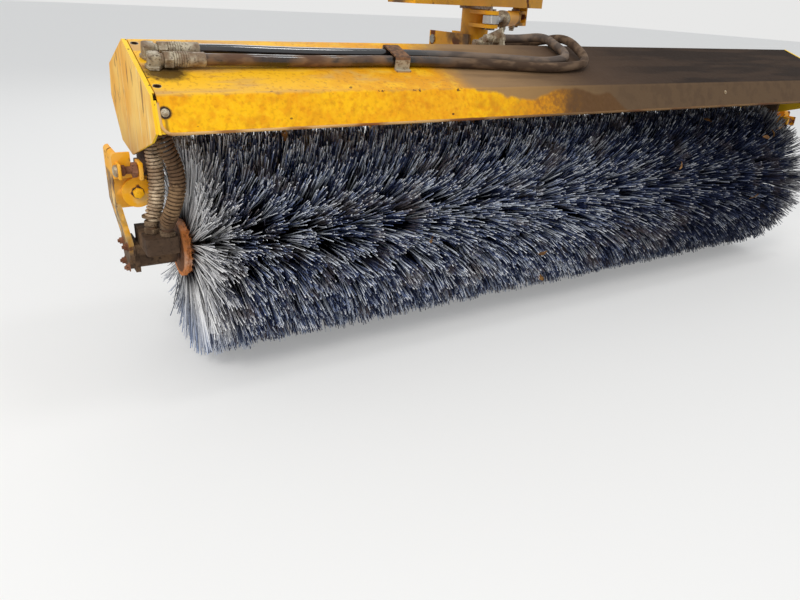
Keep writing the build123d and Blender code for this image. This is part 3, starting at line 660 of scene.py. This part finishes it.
def end_plate_paint():
    """Paler paint with scratches down the plate and a bright rim."""
    f = Finish("hood_end_paint")
    outer_face = 1.3004
    rim = f.fall(abs(f.x), outer_face - 0.0003, outer_face)
    scratch = f.grain(0.01, (1, 1, 10), 6.0)
    long_scratch = f.grain(0.02, (1, 1.4, 16), 3.0, shift=3.0)
    paint = f.mix(tone(255, 208, 106), tone(246, 178, 58), f.rise(f.grain(0.14), 0.35, 0.62))
    paint = f.mix(paint, tone(252, 224, 160), f.rise(long_scratch, 0.56, 0.66) * 0.7)
    paint = f.mix(paint, tone(206, 146, 84), f.rise(scratch, 0.56, 0.68) * 0.7)
    rust = f.rise(f.grain(0.03, (1, 1, 3), 7.0), 0.62, 0.68)
    paint = f.mix(paint, tone(118, 64, 26), rust * 0.7)
    dark_mark = f.fall(f.z + 0.05 * (f.grain(0.05) - 0.5), AXIS_Z + 0.25, AXIS_Z + 0.37)
    paint = f.mix(paint, tone(150, 104, 60), dark_mark * 0.3)
    paint = f.mix(paint, tone(250, 204, 40), rim)
    paint = f.mix(paint, tone(92, 58, 34), f.fall(f.specks(0.02), 0.1, 0.15) * rim)
    return f.done(
        Base_Color=paint,
        Roughness=0.55 + 0.2 * (scratch - 0.5),
        Specular_IOR_Level=0.3,
        Normal=f.bump(scratch * 0.4 + f.grain(0.1) * 1.5 - rust * 0.3, 0.001),
    )


def arm_paint():
    """Worn yellow paint, brown where it faces the brush and muddy toward its foot."""
    f = Finish("arm_paint")
    fine = f.grain(0.012, detail=8.0)
    small = f.grain(0.035, detail=8.0, shift=3.0)
    bleached = f.fall(f.z, AXIS_Z + 0.13, AXIS_Z + 0.19) * 0.8 + 0.2
    paint = f.mix(tone(250, 176, 14), tone(242, 210, 142), f.rise(f.grain(0.05), 0.4, 0.6) * bleached)
    rust = f.rise(small, 0.58, 0.63)
    paint = f.mix(paint, f.mix(tone(140, 78, 34), tone(82, 44, 24), fine), rust)
    past_brush = abs(f.x) - BRUSH_END
    behind = f.y - AXIS_Y
    height = f.z - AXIS_Z
    inner = f.fall(past_brush + 0.004 * (fine - 0.5), 0.116, 0.119) * f.rise(behind, -0.0498, -0.048)
    block_side = f.fall(height, 0.21, 0.22) * f.rise(behind, -0.055, -0.045)
    patchy_side = block_side * f.rise(small, 0.35, 0.5)
    paint = f.mix(paint, tone(104, 78, 54), f.most(inner, patchy_side * 0.8))
    low = f.fall(height + 0.09 * (small - 0.5), 0.0, 0.07)
    mud = f.mix(tone(112, 86, 62), tone(80, 62, 46), f.rise(fine, 0.4, 0.6))
    paint = f.mix(paint, mud, low)
    return f.done(
        Base_Color=paint,
        Roughness=0.5 + 0.3 * rust + 0.15 * low,
        Specular_IOR_Level=0.3,
        Normal=f.bump(fine * (0.5 + rust + low) + low * small, 0.0012),
    )


def chipped_paint(name, colour, worn, rust_level, mud_level, size):
    """Yellow paint with rust through it and mud on it, more the lower their levels."""
    f = Finish(name)
    fine = f.grain(size * 0.3, detail=8.0)
    broad = f.grain(size * 2.2)
    paint = f.mix(colour, worn, f.rise(broad, 0.38, 0.62))
    rust = f.rise(f.grain(size, detail=9.0, shift=3.0), rust_level, rust_level + 0.05)
    paint = f.mix(paint, f.mix(tone(126, 66, 30), tone(82, 42, 24), fine), rust)
    mud = f.rise(f.grain(size * 1.7, detail=7.0, shift=8.0), mud_level, mud_level + 0.12)
    paint = f.mix(paint, tone(98, 76, 56), mud)
    return f.done(
        Base_Color=paint,
        Roughness=0.5 + 0.3 * rust + 0.2 * mud,
        Specular_IOR_Level=0.3,
        Normal=f.bump(fine * (0.5 + rust) + mud, 0.0008),
    )


def crusted_steel(name, colour, crust, size=0.04, shine=0.0, rough=0.8, gloss=0.25):
    """Bare steel under rust or dried mud."""
    f = Finish(name)
    fine = f.grain(size * 0.25, detail=8.0)
    broad = f.grain(size * 1.6, detail=6.0, shift=5.0)
    cover = f.rise(broad, 0.38, 0.6)
    dark = [c * 0.5 for c in crust[:3]] + [1.0]
    return f.done(
        Base_Color=f.mix(f.mix(colour, crust, cover), dark, f.rise(fine, 0.5, 0.72)),
        Metallic=shine * (1 - cover),
        Roughness=rough + 0.3 * (fine - 0.5),
        Specular_IOR_Level=gloss,
        Normal=f.bump(fine + cover * 0.6, 0.001),
    )


def hood_hose_rubber(name, brown_share, gloss):
    """Black rubber, glossy near the fittings and dusty past the hood's middle."""
    f = Finish(name)
    fine = f.grain(0.02, (3, 1, 1), 7.0)
    cloudy = f.grain(0.09)
    far = f.rise(f.x + 0.25 * (cloudy - 0.5), -0.66, -0.42)
    brown = f.rise(cloudy + 0.9 * (fine - 0.5), 0.58 - 0.3 * brown_share, 0.74) * brown_share
    dusted = f.mix(tone(142, 108, 76), tone(92, 66, 48), f.rise(fine, 0.42, 0.62))
    rubber = f.mix(tone(18, 18, 19), dusted, brown)
    dust = f.mix(tone(112, 90, 70), tone(72, 56, 44), f.rise(fine, 0.38, 0.62))
    rubber = f.mix(rubber, dust, far * 0.92)
    return f.done(
        Base_Color=rubber,
        Roughness=0.14 + 0.55 * far + 0.5 * brown,
        Specular_IOR_Level=gloss,
        Coat_Weight=(1 - far) * (1 - brown),
        Normal=f.bump(fine, 0.0006),
    )


def clamp_steel():
    """Rust brown strap whose legs still show their plating."""
    f = Finish("clamp_steel")
    fine = f.grain(0.01, detail=7.0)
    height = RIDGE + AXIS_Z - f.z + (f.y - AXIS_Y) * tan(SLOPE)
    top = f.fall(height, -0.029, -0.024)
    brown = f.mix(tone(126, 88, 56), tone(86, 58, 38), f.rise(fine, 0.4, 0.6))
    plated = f.mix(tone(178, 166, 142), tone(120, 96, 70), f.rise(fine, 0.5, 0.7))
    return f.done(
        Base_Color=f.mix(plated, brown, top),
        Metallic=0.3 * (1 - top),
        Roughness=0.55 + 0.25 * top,
        Normal=f.bump(fine, 0.0006),
    )


def core_rust():
    """Orange rust with pinkish high spots, darkened with painted shade inside the tube and among the
    tufts.
    """
    f = Finish("core_rust")
    fine = f.grain(0.008, detail=8.0)
    broad = f.grain(0.05, detail=6.0)
    rust = f.mix(tone(240, 150, 84), tone(250, 200, 168), f.rise(broad, 0.42, 0.62))
    rust = f.mix(rust, tone(170, 98, 56), f.rise(fine, 0.5, 0.66) * 0.7)
    # Painted shade inside the hollow tube.
    inside = f.fall(f.off_brush_axis(), 0.064, 0.068)
    # Painted shade on the tube among the tufts, leaving the end flanges orange.
    shade_between_tufts = f.fall(abs(f.x), BRUSH_END - 0.03, BRUSH_END - 0.015)
    rust = f.mix(rust, tone(58, 44, 36), shade_between_tufts)
    return f.done(
        Base_Color=f.mix(rust, tone(84, 60, 44), inside * 0.8),
        Roughness=0.8,
        Specular_IOR_Level=0.2,
        Normal=f.bump(fine + broad, 0.0015),
    )


def bristle_plastic():
    """Navy bristles, pale and dusty toward the tips and the brush's ends, with painted shade near the
    core and over the brush's right part.
    """
    f = Finish("bristle")
    tint = f.node("Attribute", {"attribute_name": "tint"}, out="Fac")
    reach = (f.off_brush_axis() - CORE_RADIUS) * (1 / STRAND_LENGTH)
    # Fewer pale strands toward the right: partly less dust, partly painted shade of the machine's frame
    # above.
    share = tint - 0.24 * f.rise(f.x, -0.3, 0.9)
    outer = f.mix(tone(32, 42, 76), tone(122, 137, 178), f.rise(share, 0.4, 0.6))
    outer = f.mix(outer, tone(240, 246, 255), f.rise(share, 0.58, 0.74))
    outer = f.mix(outer, tone(136, 120, 108), f.rise(f.grain(0.09), 0.52, 0.68) * 0.55)
    # Near-black toward the core: painted shade deep among the strands.
    strand = f.mix(tone(8, 9, 16), outer, f.rise(reach + 0.35 * (share - 0.5), 0.36, 0.88))
    tip = f.rise(reach, 0.93, 0.95) * f.rise(share, 0.2, 0.5)
    strand = f.mix(strand, tone(250, 250, 252), tip * 0.9)
    end = f.rise(abs(f.x) + 0.1 * (tint - 0.5), 1.1, 1.19) * f.rise(tint, 0.05, 0.35)
    low = f.fall(f.z, AXIS_Z - 0.28, AXIS_Z - 0.12)
    pale = f.mix(tone(196, 196, 200), tone(255, 254, 252), tint)
    pale = f.mix(pale, tone(146, 174, 222), low * f.fall(tint, 0.2, 0.8) * 0.8)
    strand = f.mix(strand, pale, end * f.rise(reach, 0.02, 0.3) * 0.92)
    strand = f.mix(strand, tone(126, 144, 178), low * f.rise(tint, 0.2, 0.7) * 0.5)
    # Painted shade of the machine's frame over the brush's right part.
    strand = f.mix(strand, tone(20, 26, 48), f.rise(f.x, -0.3, 0.8) * 0.5)
    return f.done(Base_Color=strand, Roughness=0.4, Specular_IOR_Level=0.5)


dress(hood_sheet_paint(), "hood_panel", "hood_cleats")
dress(end_plate_paint(), "hood_end_left", "hood_end_right")
lug_paint = arm_paint()
dress(lug_paint, "end_arm_left", "end_arm_right", "pivot_block_left", "pivot_block_right")
frame_paint = chipped_paint("frame_paint", tone(238, 168, 16), tone(216, 150, 36),
                            rust_level=0.6, mud_level=0.56, size=0.1)
dress(
    frame_paint, "pivot_beam", "swing_anchor", "swing_hub", "swing_lugs", "swing_cheeks",
    "swing_crossmember", "shaft_bearing_left", "shaft_bearing_right", "rockshaft",
    "lift_arm_left", "lift_arm_right", "lift_lever", "broom_beam", "swing_barrel", "lift_barrel",
)
boss_paint = chipped_paint("boss_paint", tone(255, 190, 20), tone(246, 176, 10),
                           rust_level=0.66, mud_level=0.9, size=0.01)
mud = crusted_steel("muddy_steel", tone(108, 84, 62), tone(78, 60, 46))
dress(mud, "hanger_left", "hanger_right", "cradle_bar_left", "cradle_bar_right",
      "drive_motor", "idler_bearing")
dress(core_rust(), "brush_core")
rust = crusted_steel("rusty_steel", tone(150, 104, 78), tone(112, 70, 48), 0.02)
dress(rust, "kingpin_nut")
steel = crusted_steel("pin_steel", tone(158, 152, 142), tone(126, 96, 68), 0.03, 0.8, 0.45)
dress(steel, "kingpin", "swing_anchor_pin", "swing_lug_pin", "lift_top_pin", "lift_lever_pin")
chrome = crusted_steel("rod_chrome", tone(212, 212, 214), tone(180, 176, 168), 0.2, 1.0, 0.18, 0.5)
dress(chrome, "swing_rod", "lift_rod")
fitting = crusted_steel("fitting_steel", tone(184, 172, 148), tone(122, 98, 72), 0.02, 0.3, 0.5, 0.5)
dress(fitting, "hose_couplers")
dress(clamp_steel(), "hose_clamp")
dress(hood_hose_rubber("rear_hose_rubber", brown_share=0.15, gloss=0.8), "hose_rear")
front_rubber = hood_hose_rubber("front_hose_rubber", brown_share=1.0, gloss=0.25)
dress(front_rubber, "hose_front")
guard_steel = crusted_steel("guard_steel", tone(212, 188, 156), tone(146, 118, 90), 0.04, 0.2, 0.5, 0.4)
muddy_guard = crusted_steel("muddy_guard", tone(138, 110, 80), tone(98, 74, 54), 0.04, 0.0, 0.8, 0.2)
muddy_fitting = crusted_steel("muddy_fitting", tone(132, 110, 86), tone(88, 68, 50), 0.02, 0.1, 0.7, 0.3)
pale_steel = crusted_steel("pale_steel", tone(206, 196, 172), tone(160, 136, 104), 0.01, 0.3, 0.5, 0.4)


# Bristles
def strand(name, bend):
    """One blunt three-sided bristle on its root, bent over its outer part."""
    knee = STRAND_LENGTH * 0.55
    piece = start(
        bpy.ops.mesh.primitive_cylinder_add, name, vertices=3, radius=0.00135,
        depth=STRAND_LENGTH, end_fill_type="NGON", location=(0, 0, STRAND_LENGTH / 2),
    )
    bpy.ops.object.transform_apply(location=True)
    bpy.ops.object.mode_set(mode="EDIT")
    bpy.ops.mesh.select_all(action="SELECT")
    bpy.ops.mesh.bisect(plane_co=(0, 0, knee), plane_no=(0, 0, 1))
    bpy.ops.object.mode_set(mode="OBJECT")
    for vertex in piece.data.vertices:
        if vertex.co.z > knee * 1.1:
            vertex.co.xy += Vector(bend)
        elif vertex.co.z > knee * 0.9:
            vertex.co.xy += Vector(bend) * 0.25
    return piece


def tuft(name, strands, dice):
    """Strands out of one narrow root, each with its own way, length and tint."""
    count, half_x, half_y, spread = 22, 0.013, 0.004, 0.01
    lean_x, lean_y = dice.gauss(0, 0.02), dice.gauss(0, 0.02)
    bunch = []
    for _ in range(count):
        root_x, root_y = dice.uniform(-half_x, half_x), dice.uniform(-half_y, half_y)
        tip_x = lean_x * STRAND_LENGTH + dice.gauss(0, spread)
        tip_y = lean_y * STRAND_LENGTH + dice.gauss(0, spread)
        way = Vector((tip_x - root_x, tip_y - root_y, STRAND_LENGTH))
        size = Matrix.Diagonal((1, 1, dice.uniform(0.86, 1.0), 1))
        place = facing((root_x, root_y, 0), way, dice.uniform(0, 2 * pi)) @ size
        made = copy(dice.choice(strands), place)
        shade = made.data.attributes.new("tint", "FLOAT", "POINT")
        shade.data.foreach_set("value", [dice.random()] * len(made.data.vertices))
        bunch.append(made)
    return join(bunch, name)


def on_core(x, angle, lean, dice):
    """Stands a tuft on the core, with its lean along the brush."""
    return (
        moved(x, AXIS_Y, AXIS_Z) @ turned(angle, "X") @ moved(0, 0, CORE_RADIUS)
        @ turned(lean, "Y") @ turned(dice.gauss(0, 0.07), "X")
        @ turned(dice.choice((0, pi)), "Z")
        @ Matrix.Diagonal((1, 1, dice.uniform(0.94, 1.0), 1))
    )


def bristles():
    """Bristle tufts all round the core, in six pieces along the brush."""
    dice = Random(7)
    kinds, rings, spokes, sections = 12, 66, 48, 6
    bends = ((0.011, 0), (-0.008, 0.007), (0, -0.013), (0.003, 0.002))
    strands = [strand(f"strand_{index}", bend) for index, bend in enumerate(bends)]
    tufts = [tuft(f"tuft_{index}", strands, dice) for index in range(kinds)]
    material = bristle_plastic()
    end_gap, end_calm, end_lean = 0.012, 0.7, 0.035
    room = 2 * (BRUSH_END - end_gap)
    for section in range(sections):
        copies = []
        for ring in range(section * rings // sections, (section + 1) * rings // sections):
            x = -room / 2 + (ring + 0.5) * room / rings
            first = dice.uniform(0, 2 * pi)
            for spoke in range(spokes):
                angle = first + (spoke + dice.uniform(-0.3, 0.3)) * 2 * pi / spokes
                lean = dice.gauss(0, 0.085)
                if ring == 0:
                    lean = max(lean * end_calm, -end_lean)
                if ring == rings - 1:
                    lean = min(lean * end_calm, end_lean)
                place = on_core(x, angle, lean, dice)
                copies.append(copy(dice.choice(tufts), place))
        outfit(f"bristles_{section + 1}", copies, material, ("bristle_wafers",),
               smooth=0, body="brush")
    clear(strands + tufts)


def caught_leaves():
    """Dry leaf bits caught among the bristle tips."""
    dice = Random(21)
    length, width, arch, keel, tilt = 0.034, 0.016, 0.004, 0.3, 0.8
    leaf = start(bpy.ops.mesh.primitive_grid_add, "leaf", x_subdivisions=6, y_subdivisions=2, size=1)
    for vertex in leaf.data.vertices:
        x, y, _ = vertex.co
        along = x + 0.5
        taper = sin(pi * min(0.97, along + 0.02)) ** 0.7
        vertex.co = (x * length, y * width * taper, arch * sin(3 * along) + keel * abs(y) * width)
    wall = leaf.modifiers.new("wall", "SOLIDIFY")
    wall.thickness = 0.0006
    bpy.ops.object.modifier_apply(modifier="wall")
    count, half_spread, depth = 26, 1.15, 0.018
    copies = []
    for _ in range(count):
        angle = dice.uniform(0, 2 * pi)
        place = (
            moved(dice.uniform(-half_spread, half_spread), AXIS_Y, AXIS_Z) @ turned(angle, "X")
            @ moved(0, 0, BRUSH_RADIUS - depth) @ turned(dice.uniform(0, 2 * pi), "Z")
            @ turned(dice.uniform(-tilt, tilt), "Y") @ turned(dice.uniform(-tilt, tilt), "X")
        )
        copies.append(copy(leaf, place))
    clear([leaf])
    dry = crusted_steel("dry_leaf", tone(172, 128, 76), tone(120, 84, 50), 0.02)
    outfit("caught_leaves", copies, dry, smooth=60, body="brush")


# Hoses with spring guards, from the bulkheads to the motor
GUARD_ROUTES = (
    ("guard_hose_left", guard_steel, ELBOW_YS[0],
     [(-0.048, -0.084, 0.39), (-0.055, -0.087, 0.29), (-0.051, -0.084, 0.215),
      (-0.057, -0.086, 0.15), (-0.074, -0.085, 0.108)]),
    ("guard_hose_right", muddy_guard, ELBOW_YS[1],
     [(-0.046, -0.148, 0.365), (-0.044, -0.164, 0.305), (-0.024, -0.165, 0.255),
      (-0.021, -0.164, 0.205), (-0.034, -0.16, 0.16), (-0.044, -0.144, 0.126),
      (-0.046, -0.12, 0.104)]),
)
BULKHEAD_TAIL = 0.012
GUARD_EXIT = 0.024


def spring_coil(name, way, radius, wire, pitch):
    """A wire wound round a line, with its turns about a pitch apart."""
    lengths = [0.0]
    for before, after in zip(way, way[1:]):
        lengths.append(lengths[-1] + (after - before).length)
    steps = 12
    count = round(lengths[-1] / pitch) * steps
    side = (way[1] - way[0]).orthogonal().normalized()
    places = []
    sector = 0
    for index in range(count + 1):
        reach = lengths[-1] * index / count
        while sector < len(way) - 2 and lengths[sector + 1] < reach:
            sector += 1
        run = way[sector + 1] - way[sector]
        share = (reach - lengths[sector]) / (lengths[sector + 1] - lengths[sector])
        along = run.normalized()
        side = (side - along * side.dot(along)).normalized()
        angle = 2 * pi * index / steps
        places.append(
            way[sector] + run * share + Quaternion(along, angle) @ side * radius
        )
    return tube(name, places, wire)


def guard_hoses():
    """Rubber hoses in their spring guards, with sleeves, clamps and hex adapters."""
    adapter = join(
        [
            hexagon("adapter_hex", 0.019, 0.013),
            lathe("adapter_neck", [(0.013, 0.013), (0.013, 0.018), (0.0165, 0.02),
                                   (0.0165, 0.03), (0.015, 0.032)]),
        ],
        "adapter",
    )
    rubber, spring_foot, plate_gap = 0.0138, 0.034, 0.004
    ear_place = moved(0.0235, 0, 0.0425)
    for name, coil_steel, elbow_y, route in GUARD_ROUTES:
        drops = (BULKHEAD_TAIL, BULKHEAD_TAIL + GUARD_EXIT)
        points = [on_slope(ELBOW_X, elbow_y, -HOOD_SHEET - drop) for drop in drops]
        points += [from_axis(x - BRUSH_END, y, z) for x, y, z in route]
        points.append(from_axis(route[-1][0] - BRUSH_END, route[-1][1], PORT_TOP))
        way = smooth_way(points)
        foot = points[-1]
        guarded = [place for place in way if place.z > foot.z + spring_foot]
        hose = tube("hose", points, rubber, "NURBS", rounds=3)
        outfit(f"{name}_rubber", [hose], front_rubber, (name,), smooth=60)
        coil = spring_coil("coil", guarded, radius=0.0162, wire=0.0035, pitch=0.0086)
        outfit(f"{name}_spring", [coil], coil_steel, (name,), smooth=60)
        band = lathe("band", [(0.0185, 0.04), (0.0205, 0.0405), (0.0205, 0.0445), (0.0185, 0.045)])
        ear = block("ear", (0.008, 0.006, 0.009), 0.0012, ear_place)
        fittings = [copy(adapter, facing(foot, (0, 0, 1))), copy(band, facing(foot, (0, 0, 1))),
                    copy(ear, moved(*foot) @ ear_place)]
        clear([band, ear])
        top = copy(adapter, facing(points[0] + SLOPE_WAY * plate_gap, -SLOPE_WAY))
        outfit(f"{name}_fittings", fittings + [top], muddy_fitting)
    clear([adapter])


def bulkhead_elbows():
    """Forged elbows through the hood, with nuts, swivels and crimped hose ferrules."""
    nut = hexagon("bulkhead_nut", 0.0185, 0.009)
    swivel = hexagon("swivel", 0.0185, 0.02)
    rib_count, rib_pitch = 6, 0.0052
    crimps = [(0.0145, 0.0)]
    for rib in range(rib_count):
        foot = 0.001 + rib * rib_pitch
        crimps += [(0.0168, foot), (0.0168, foot + 0.0032), (0.015, foot + 0.004)]
    sleeve_start = crimps[-1][1] + 0.001
    crimps += [(0.0156, sleeve_start), (0.016, 0.067), (0.0148, 0.069)]
    ferrule = lathe("ferrule", crimps)
    stem = lathe("stem", [(0.0115, -0.017), (0.0115, 0.011), (0.0135, 0.012), (0.0135, 0.019)])
    arm = lathe("elbow_arm", [(0.0125, 0), (0.0125, 0.018), (0.0105, 0.019), (0.0105, 0.042)])
    pieces = []
    for y in ELBOW_YS:
        seat = facing(on_slope(ELBOW_X, y, 0.0003), SLOPE_WAY)
        centre = on_slope(ELBOW_X, y, ELBOW_RISE)
        forging = facing(centre, SLOPE_WAY)
        pieces += [
            copy(nut, seat @ turned(0.4, "Z")),
            copy(nut, facing(on_slope(ELBOW_X, y, -HOOD_SHEET), -SLOPE_WAY, 0.9)),
            copy(stem, seat),
            block("forging", (0.027, 0.027, 0.028), 0.005, forging @ moved(0, 0, 0.001)),
            copy(arm, facing(centre, (1, 0, 0))),
            copy(swivel, facing(centre + Vector((0.02, 0, 0)), (1, 0, 0), 0.5)),
            copy(ferrule, facing(centre + Vector((0.04, 0, 0)), (1, 0, 0))),
        ]
    clear([nut, swivel, ferrule, stem, arm])
    outfit("bulkhead_elbows", pieces, fitting, ("hose_elbows",))


def worn_lip_paint():
    """Paint rubbed off the lip, browner toward the right."""
    f = Finish("worn_lip")
    small = f.grain(0.05, (3, 1, 1), 6.0)
    bare = f.mix(tone(214, 170, 108), tone(140, 84, 38), f.rise(small, 0.44, 0.62))
    return f.done(
        Base_Color=f.mix(bare, tone(74, 50, 34), f.rise(f.x, -0.9, -0.1) * 0.8),
        Roughness=0.7,
        Specular_IOR_Level=0.2,
        Normal=f.bump(small, 0.001),
    )


def hood_lip():
    """The rolled lip along the hood's front edge, round both its corners."""
    slant = (FOLD_Y - LIP_Y) / (FOLD_HEIGHT - LIP_HEIGHT)
    steps, end_rise = 6, 0.06
    outline = [(HOOD_HALF, end_rise)]
    for step in range(steps + 1):
        angle = pi / 2 * step / steps
        x = HOOD_HALF - LIP_CORNER + LIP_CORNER * cos(angle)
        outline.append((x, LIP_CORNER - LIP_CORNER * sin(angle)))
    outline += [(-x, rise) for x, rise in reversed(outline)]
    middle_y = LIP_Y + HOOD_SHEET / 2
    places = [from_axis(x, middle_y + rise * slant, LIP_HEIGHT + rise) for x, rise in outline]
    hem = tube("hem", places, radius=0.0036, rounds=2)
    outfit("hood_lip", [hem], worn_lip_paint(), smooth=60)


def hood_face_bolts():
    """A bolt by each end of the hood's face and a small rivet between them."""
    upward = 0.33
    face_way = Vector((0, -cos(atan2(FOLD_Y - LIP_Y, FOLD_HEIGHT - LIP_HEIGHT)), upward))
    dome = lathe("dome", [(0.0085, 0), (0.0085, 0.001), (0.0062, 0.0015), (0.006, 0.003),
                          (0.0045, 0.0048), (0.0018, 0.0056)], sides=20)
    heads = []
    bolt_seat = (FACE_BOLT_Y, FACE_BOLT_HEIGHT, 1.0)
    for x, y, z, size in (
        (-RIM_X, *bolt_seat), (RIM_X, *bolt_seat), (0.568, -0.2615, 0.389, 0.7),
    ):
        heads.append(copy(dome, facing(from_axis(x, y, z), face_way) @ Matrix.Scale(size, 4)))
    outfit("hood_face_bolts", heads, pale_steel, smooth=50)
    clear([dome])


def clamp_bolt():
    """The bolt in the foot of the hose clamp."""
    clamp_y, foot_reach, foot_top = -0.113, 0.047, 0.0043
    nut = bolt("foot_bolt", 0.0075, 0.006, 0.004)
    seat = on_slope(CLAMP_X, clamp_y + foot_reach * cos(SLOPE), foot_top)
    nut.matrix_world = facing(seat, SLOPE_WAY, 0.3)
    outfit("clamp_bolt", [nut], rust)


def level_bolts():
    """The adjusting bolt between its lugs in front of each arm."""
    head_steps = [(0.0135, 0), (0.0145, 0.002), (0.0135, 0.006), (0.009, 0.009)]
    for side, name in ((-1, "level_bolt_left"), (1, "level_bolt_right")):
        lugs = [
            block("lug", (0.01, 0.062, 0.041), 0.0022,
                  moved(*past_end(side, 0.085, -0.062, 0.2275))),
            block("lug", (0.007, 0.034, 0.036), 0.0022,
                  moved(*past_end(side, 0.1315, -0.077, 0.23))),
        ]
        pieces = [
            (threaded("level_rod", 0.0095, -0.004, 0.056), 0.08, 0.0),
            (hexagon("level_nut", 0.0175, 0.013), 0.091, 0.3),
            (hexagon("stop_nut", 0.0125, 0.01), 0.118, 0.1),
            (lathe("level_head", head_steps), 0.135, 0.0),
        ]
        for piece, reach, spin in pieces:
            place = past_end(side, reach, LEVEL_BOLT_Y, LEVEL_BOLT_HEIGHT)
            piece.matrix_world = facing(place, (side, 0, 0), spin)
        *screw, head = (piece for piece, _, _ in pieces)
        outfit(f"{name}_lugs", lugs, lug_paint, (name,))
        outfit(f"{name}_screw", screw, rust, (name,))
        outfit(f"{name}_head", [head], pale_steel, (name,))


def arm_bolts():
    """Bolts in the pivot bosses, and through the arms into the motor and bearing."""
    boss = hexagon("boss_bolt", 0.013, 0.0105)
    foot = bolt("foot_bolt", 0.0085, 0.0075, 0.004)
    # A thin dark ring round each boss bolt: painted shadow of the bolt head.
    dark_mark = lathe("dark_mark", [(0.0144, 0), (0.0144, 0.001), (0.0138, 0.0014)])
    shadow_ring_sunk = Vector((0, 0.0002, 0))
    front = (0, -1, 0)
    boss_reach, arm_reach = 0.092, 0.126
    corner = (-0.027, 0.027)
    rings, heads, boss_heads = [], [], []
    for side in (-1, 1):
        seat = past_end(side, boss_reach, BOSS_FACE_Y, BOSS_HEIGHT)
        boss_heads.append(copy(boss, facing(seat, front, 0.2)))
        for y in corner:
            for z in corner:
                place = past_end(side, arm_reach, y, z)
                heads.append(copy(foot, facing(place, (side, 0, 0), spin=y * 40)))
        rings.append(copy(dark_mark, facing(seat + shadow_ring_sunk, front)))
    clear([boss, foot, dark_mark])
    outfit("arm_bolts", heads, rust)
    outfit("boss_bolts", boss_heads, boss_paint)
    # The dark rings are painted shadow round the boss bolts, in the muddy steel colour.
    outfit("boss_shadow_rings", rings, mud)


def cylinder_details():
    """Gland nuts, rod wipers and hose ports on the swing and lift cylinders."""
    from_base, from_end = 0.052, 0.045
    for barrel, base_pin, tip_pin, length, port_way in (
        ("swing_barrel", "swing_anchor_pin", "swing_lug_pin", 0.285, (0, 0, -1)),
        ("lift_barrel", "lift_top_pin", "lift_lever_pin", 0.19, (1, 0, 0)),
    ):
        base, tip = (sum(map(Vector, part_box(pin)), Vector()) / 2 for pin in (base_pin, tip_pin))
        way = (tip - base).normalized()
        gland = lathe("gland", [(0.028, -0.03), (0.03, -0.029), (0.03, -0.02),
                                (0.0286, -0.019), (0.0286, -0.016), (0.03, -0.015),
                                (0.03, -0.001), (0.0285, 0.0008)])
        wiper = lathe("wiper", [(0.0185, 0.0), (0.0185, 0.003), (0.0165, 0.0045), (0.0145, 0.005)])
        port = join(
            [lathe("boss", [(0.012, 0.022), (0.012, 0.036), (0.0112, 0.037)]),
             lathe("plug", [(0.0085, 0.037), (0.0095, 0.038), (0.0095, 0.045), (0.008, 0.046)],
                   sides=6)],
            "port",
        )
        end = base + way * length
        pieces = [copy(ring, facing(end, way)) for ring in (gland, wiper)]
        for reach in (from_base, length - from_end):
            pieces.append(copy(port, facing(base + way * reach, port_way)))
        clear([gland, wiper, port])
        outfit(f"{barrel}_fittings", pieces, fitting, body=barrel)


def grease_nipples():
    """Grease nipples on the swing hub and over the rockshaft's bearings."""
    nipple = join(
        [hexagon("nipple_hex", 0.0062, 0.005),
         lathe("nipple_tip", [(0.0032, 0.005), (0.0026, 0.008), (0.0036, 0.0105), (0.0024, 0.013)],
               sides=14)],
        "nipple",
    )
    hub_face, bearing_reach = -0.05, 0.056
    spots = [facing((0, hub_face, height), (0, -1, 0)) for height in (-0.16, -0.26)]
    for bearing in ("shaft_bearing_left", "shaft_bearing_right"):
        low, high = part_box(bearing)
        middle = (Vector(low) + Vector(high)) / 2
        spots.append(facing((middle.x, middle.y - bearing_reach, SHAFT_Z), (0, -1, 0)))
    nipples = [copy(nipple, spot) for spot in spots]
    clear([nipple])
    outfit("grease_nipples", nipples, steel, body="swing_frame")


def upright(side, reach, ys, zs):
    """Corners round an upright rectangle past the brush's end, closed."""
    corners = ((0, 0), (1, 0), (1, 1), (0, 1), (0, 0))
    return [past_end(side, reach, ys[i], zs[j]) for i, j in corners]


def weld_beads():
    """Uneven beads along the frame's welded joints."""
    dice = Random(11)

    def bead(corners):
        places = stepped(corners)
        return tube("bead", places, 0.0042, sizes=[dice.uniform(0.75, 1.2) for _ in places])

    swung = turned(PIVOT_BEAM_ANGLE, "Z")
    mount = [bead([swung @ Vector((x, y, -0.0125)) for x in (-0.5, 0.5)])
             for y in (-0.0505, 0.0505)]
    outfit("pivot_beam_welds", mount, frame_paint, smooth=60, body="mount")

    cheeks = [bead([(x, -0.0215, z) for z in (-0.187, -0.3)]) for x in (-0.0465, 0.0465)]
    outfit("hub_welds", cheeks, frame_paint, smooth=60, body="swing_frame")

    arm_sides = (-0.4105, -0.3495, 0.3495, 0.4105)
    carriage = [bead(ring_of((x, 0, SHAFT_Z), 0.039, (1, 0, 0))) for x in arm_sides]
    beam_ys, beam_zs = (-0.002, 0.078), (0.37, 0.45)
    block_ys = (ARM_FACE_Y, -ARM_FACE_Y)
    beam_reach, block_reach, foot_reach = 0.0495, 0.0625, 0.1135
    for side in (-1, 1):
        carriage += [
            bead(upright(side, beam_reach, beam_ys, beam_zs)),
            bead(upright(side, block_reach, block_ys, BLOCK_HEIGHTS)),
            bead([past_end(side, foot_reach, ARM_FACE_Y, z) for z in (0.01, 0.035)]),
        ]
    outfit("carriage_welds", carriage, mud, smooth=60)


bristles()
caught_leaves()
guard_hoses()
bulkhead_elbows()
hood_lip()
hood_face_bolts()
clamp_bolt()
level_bolts()
arm_bolts()
cylinder_details()
grease_nipples()
weld_beads()
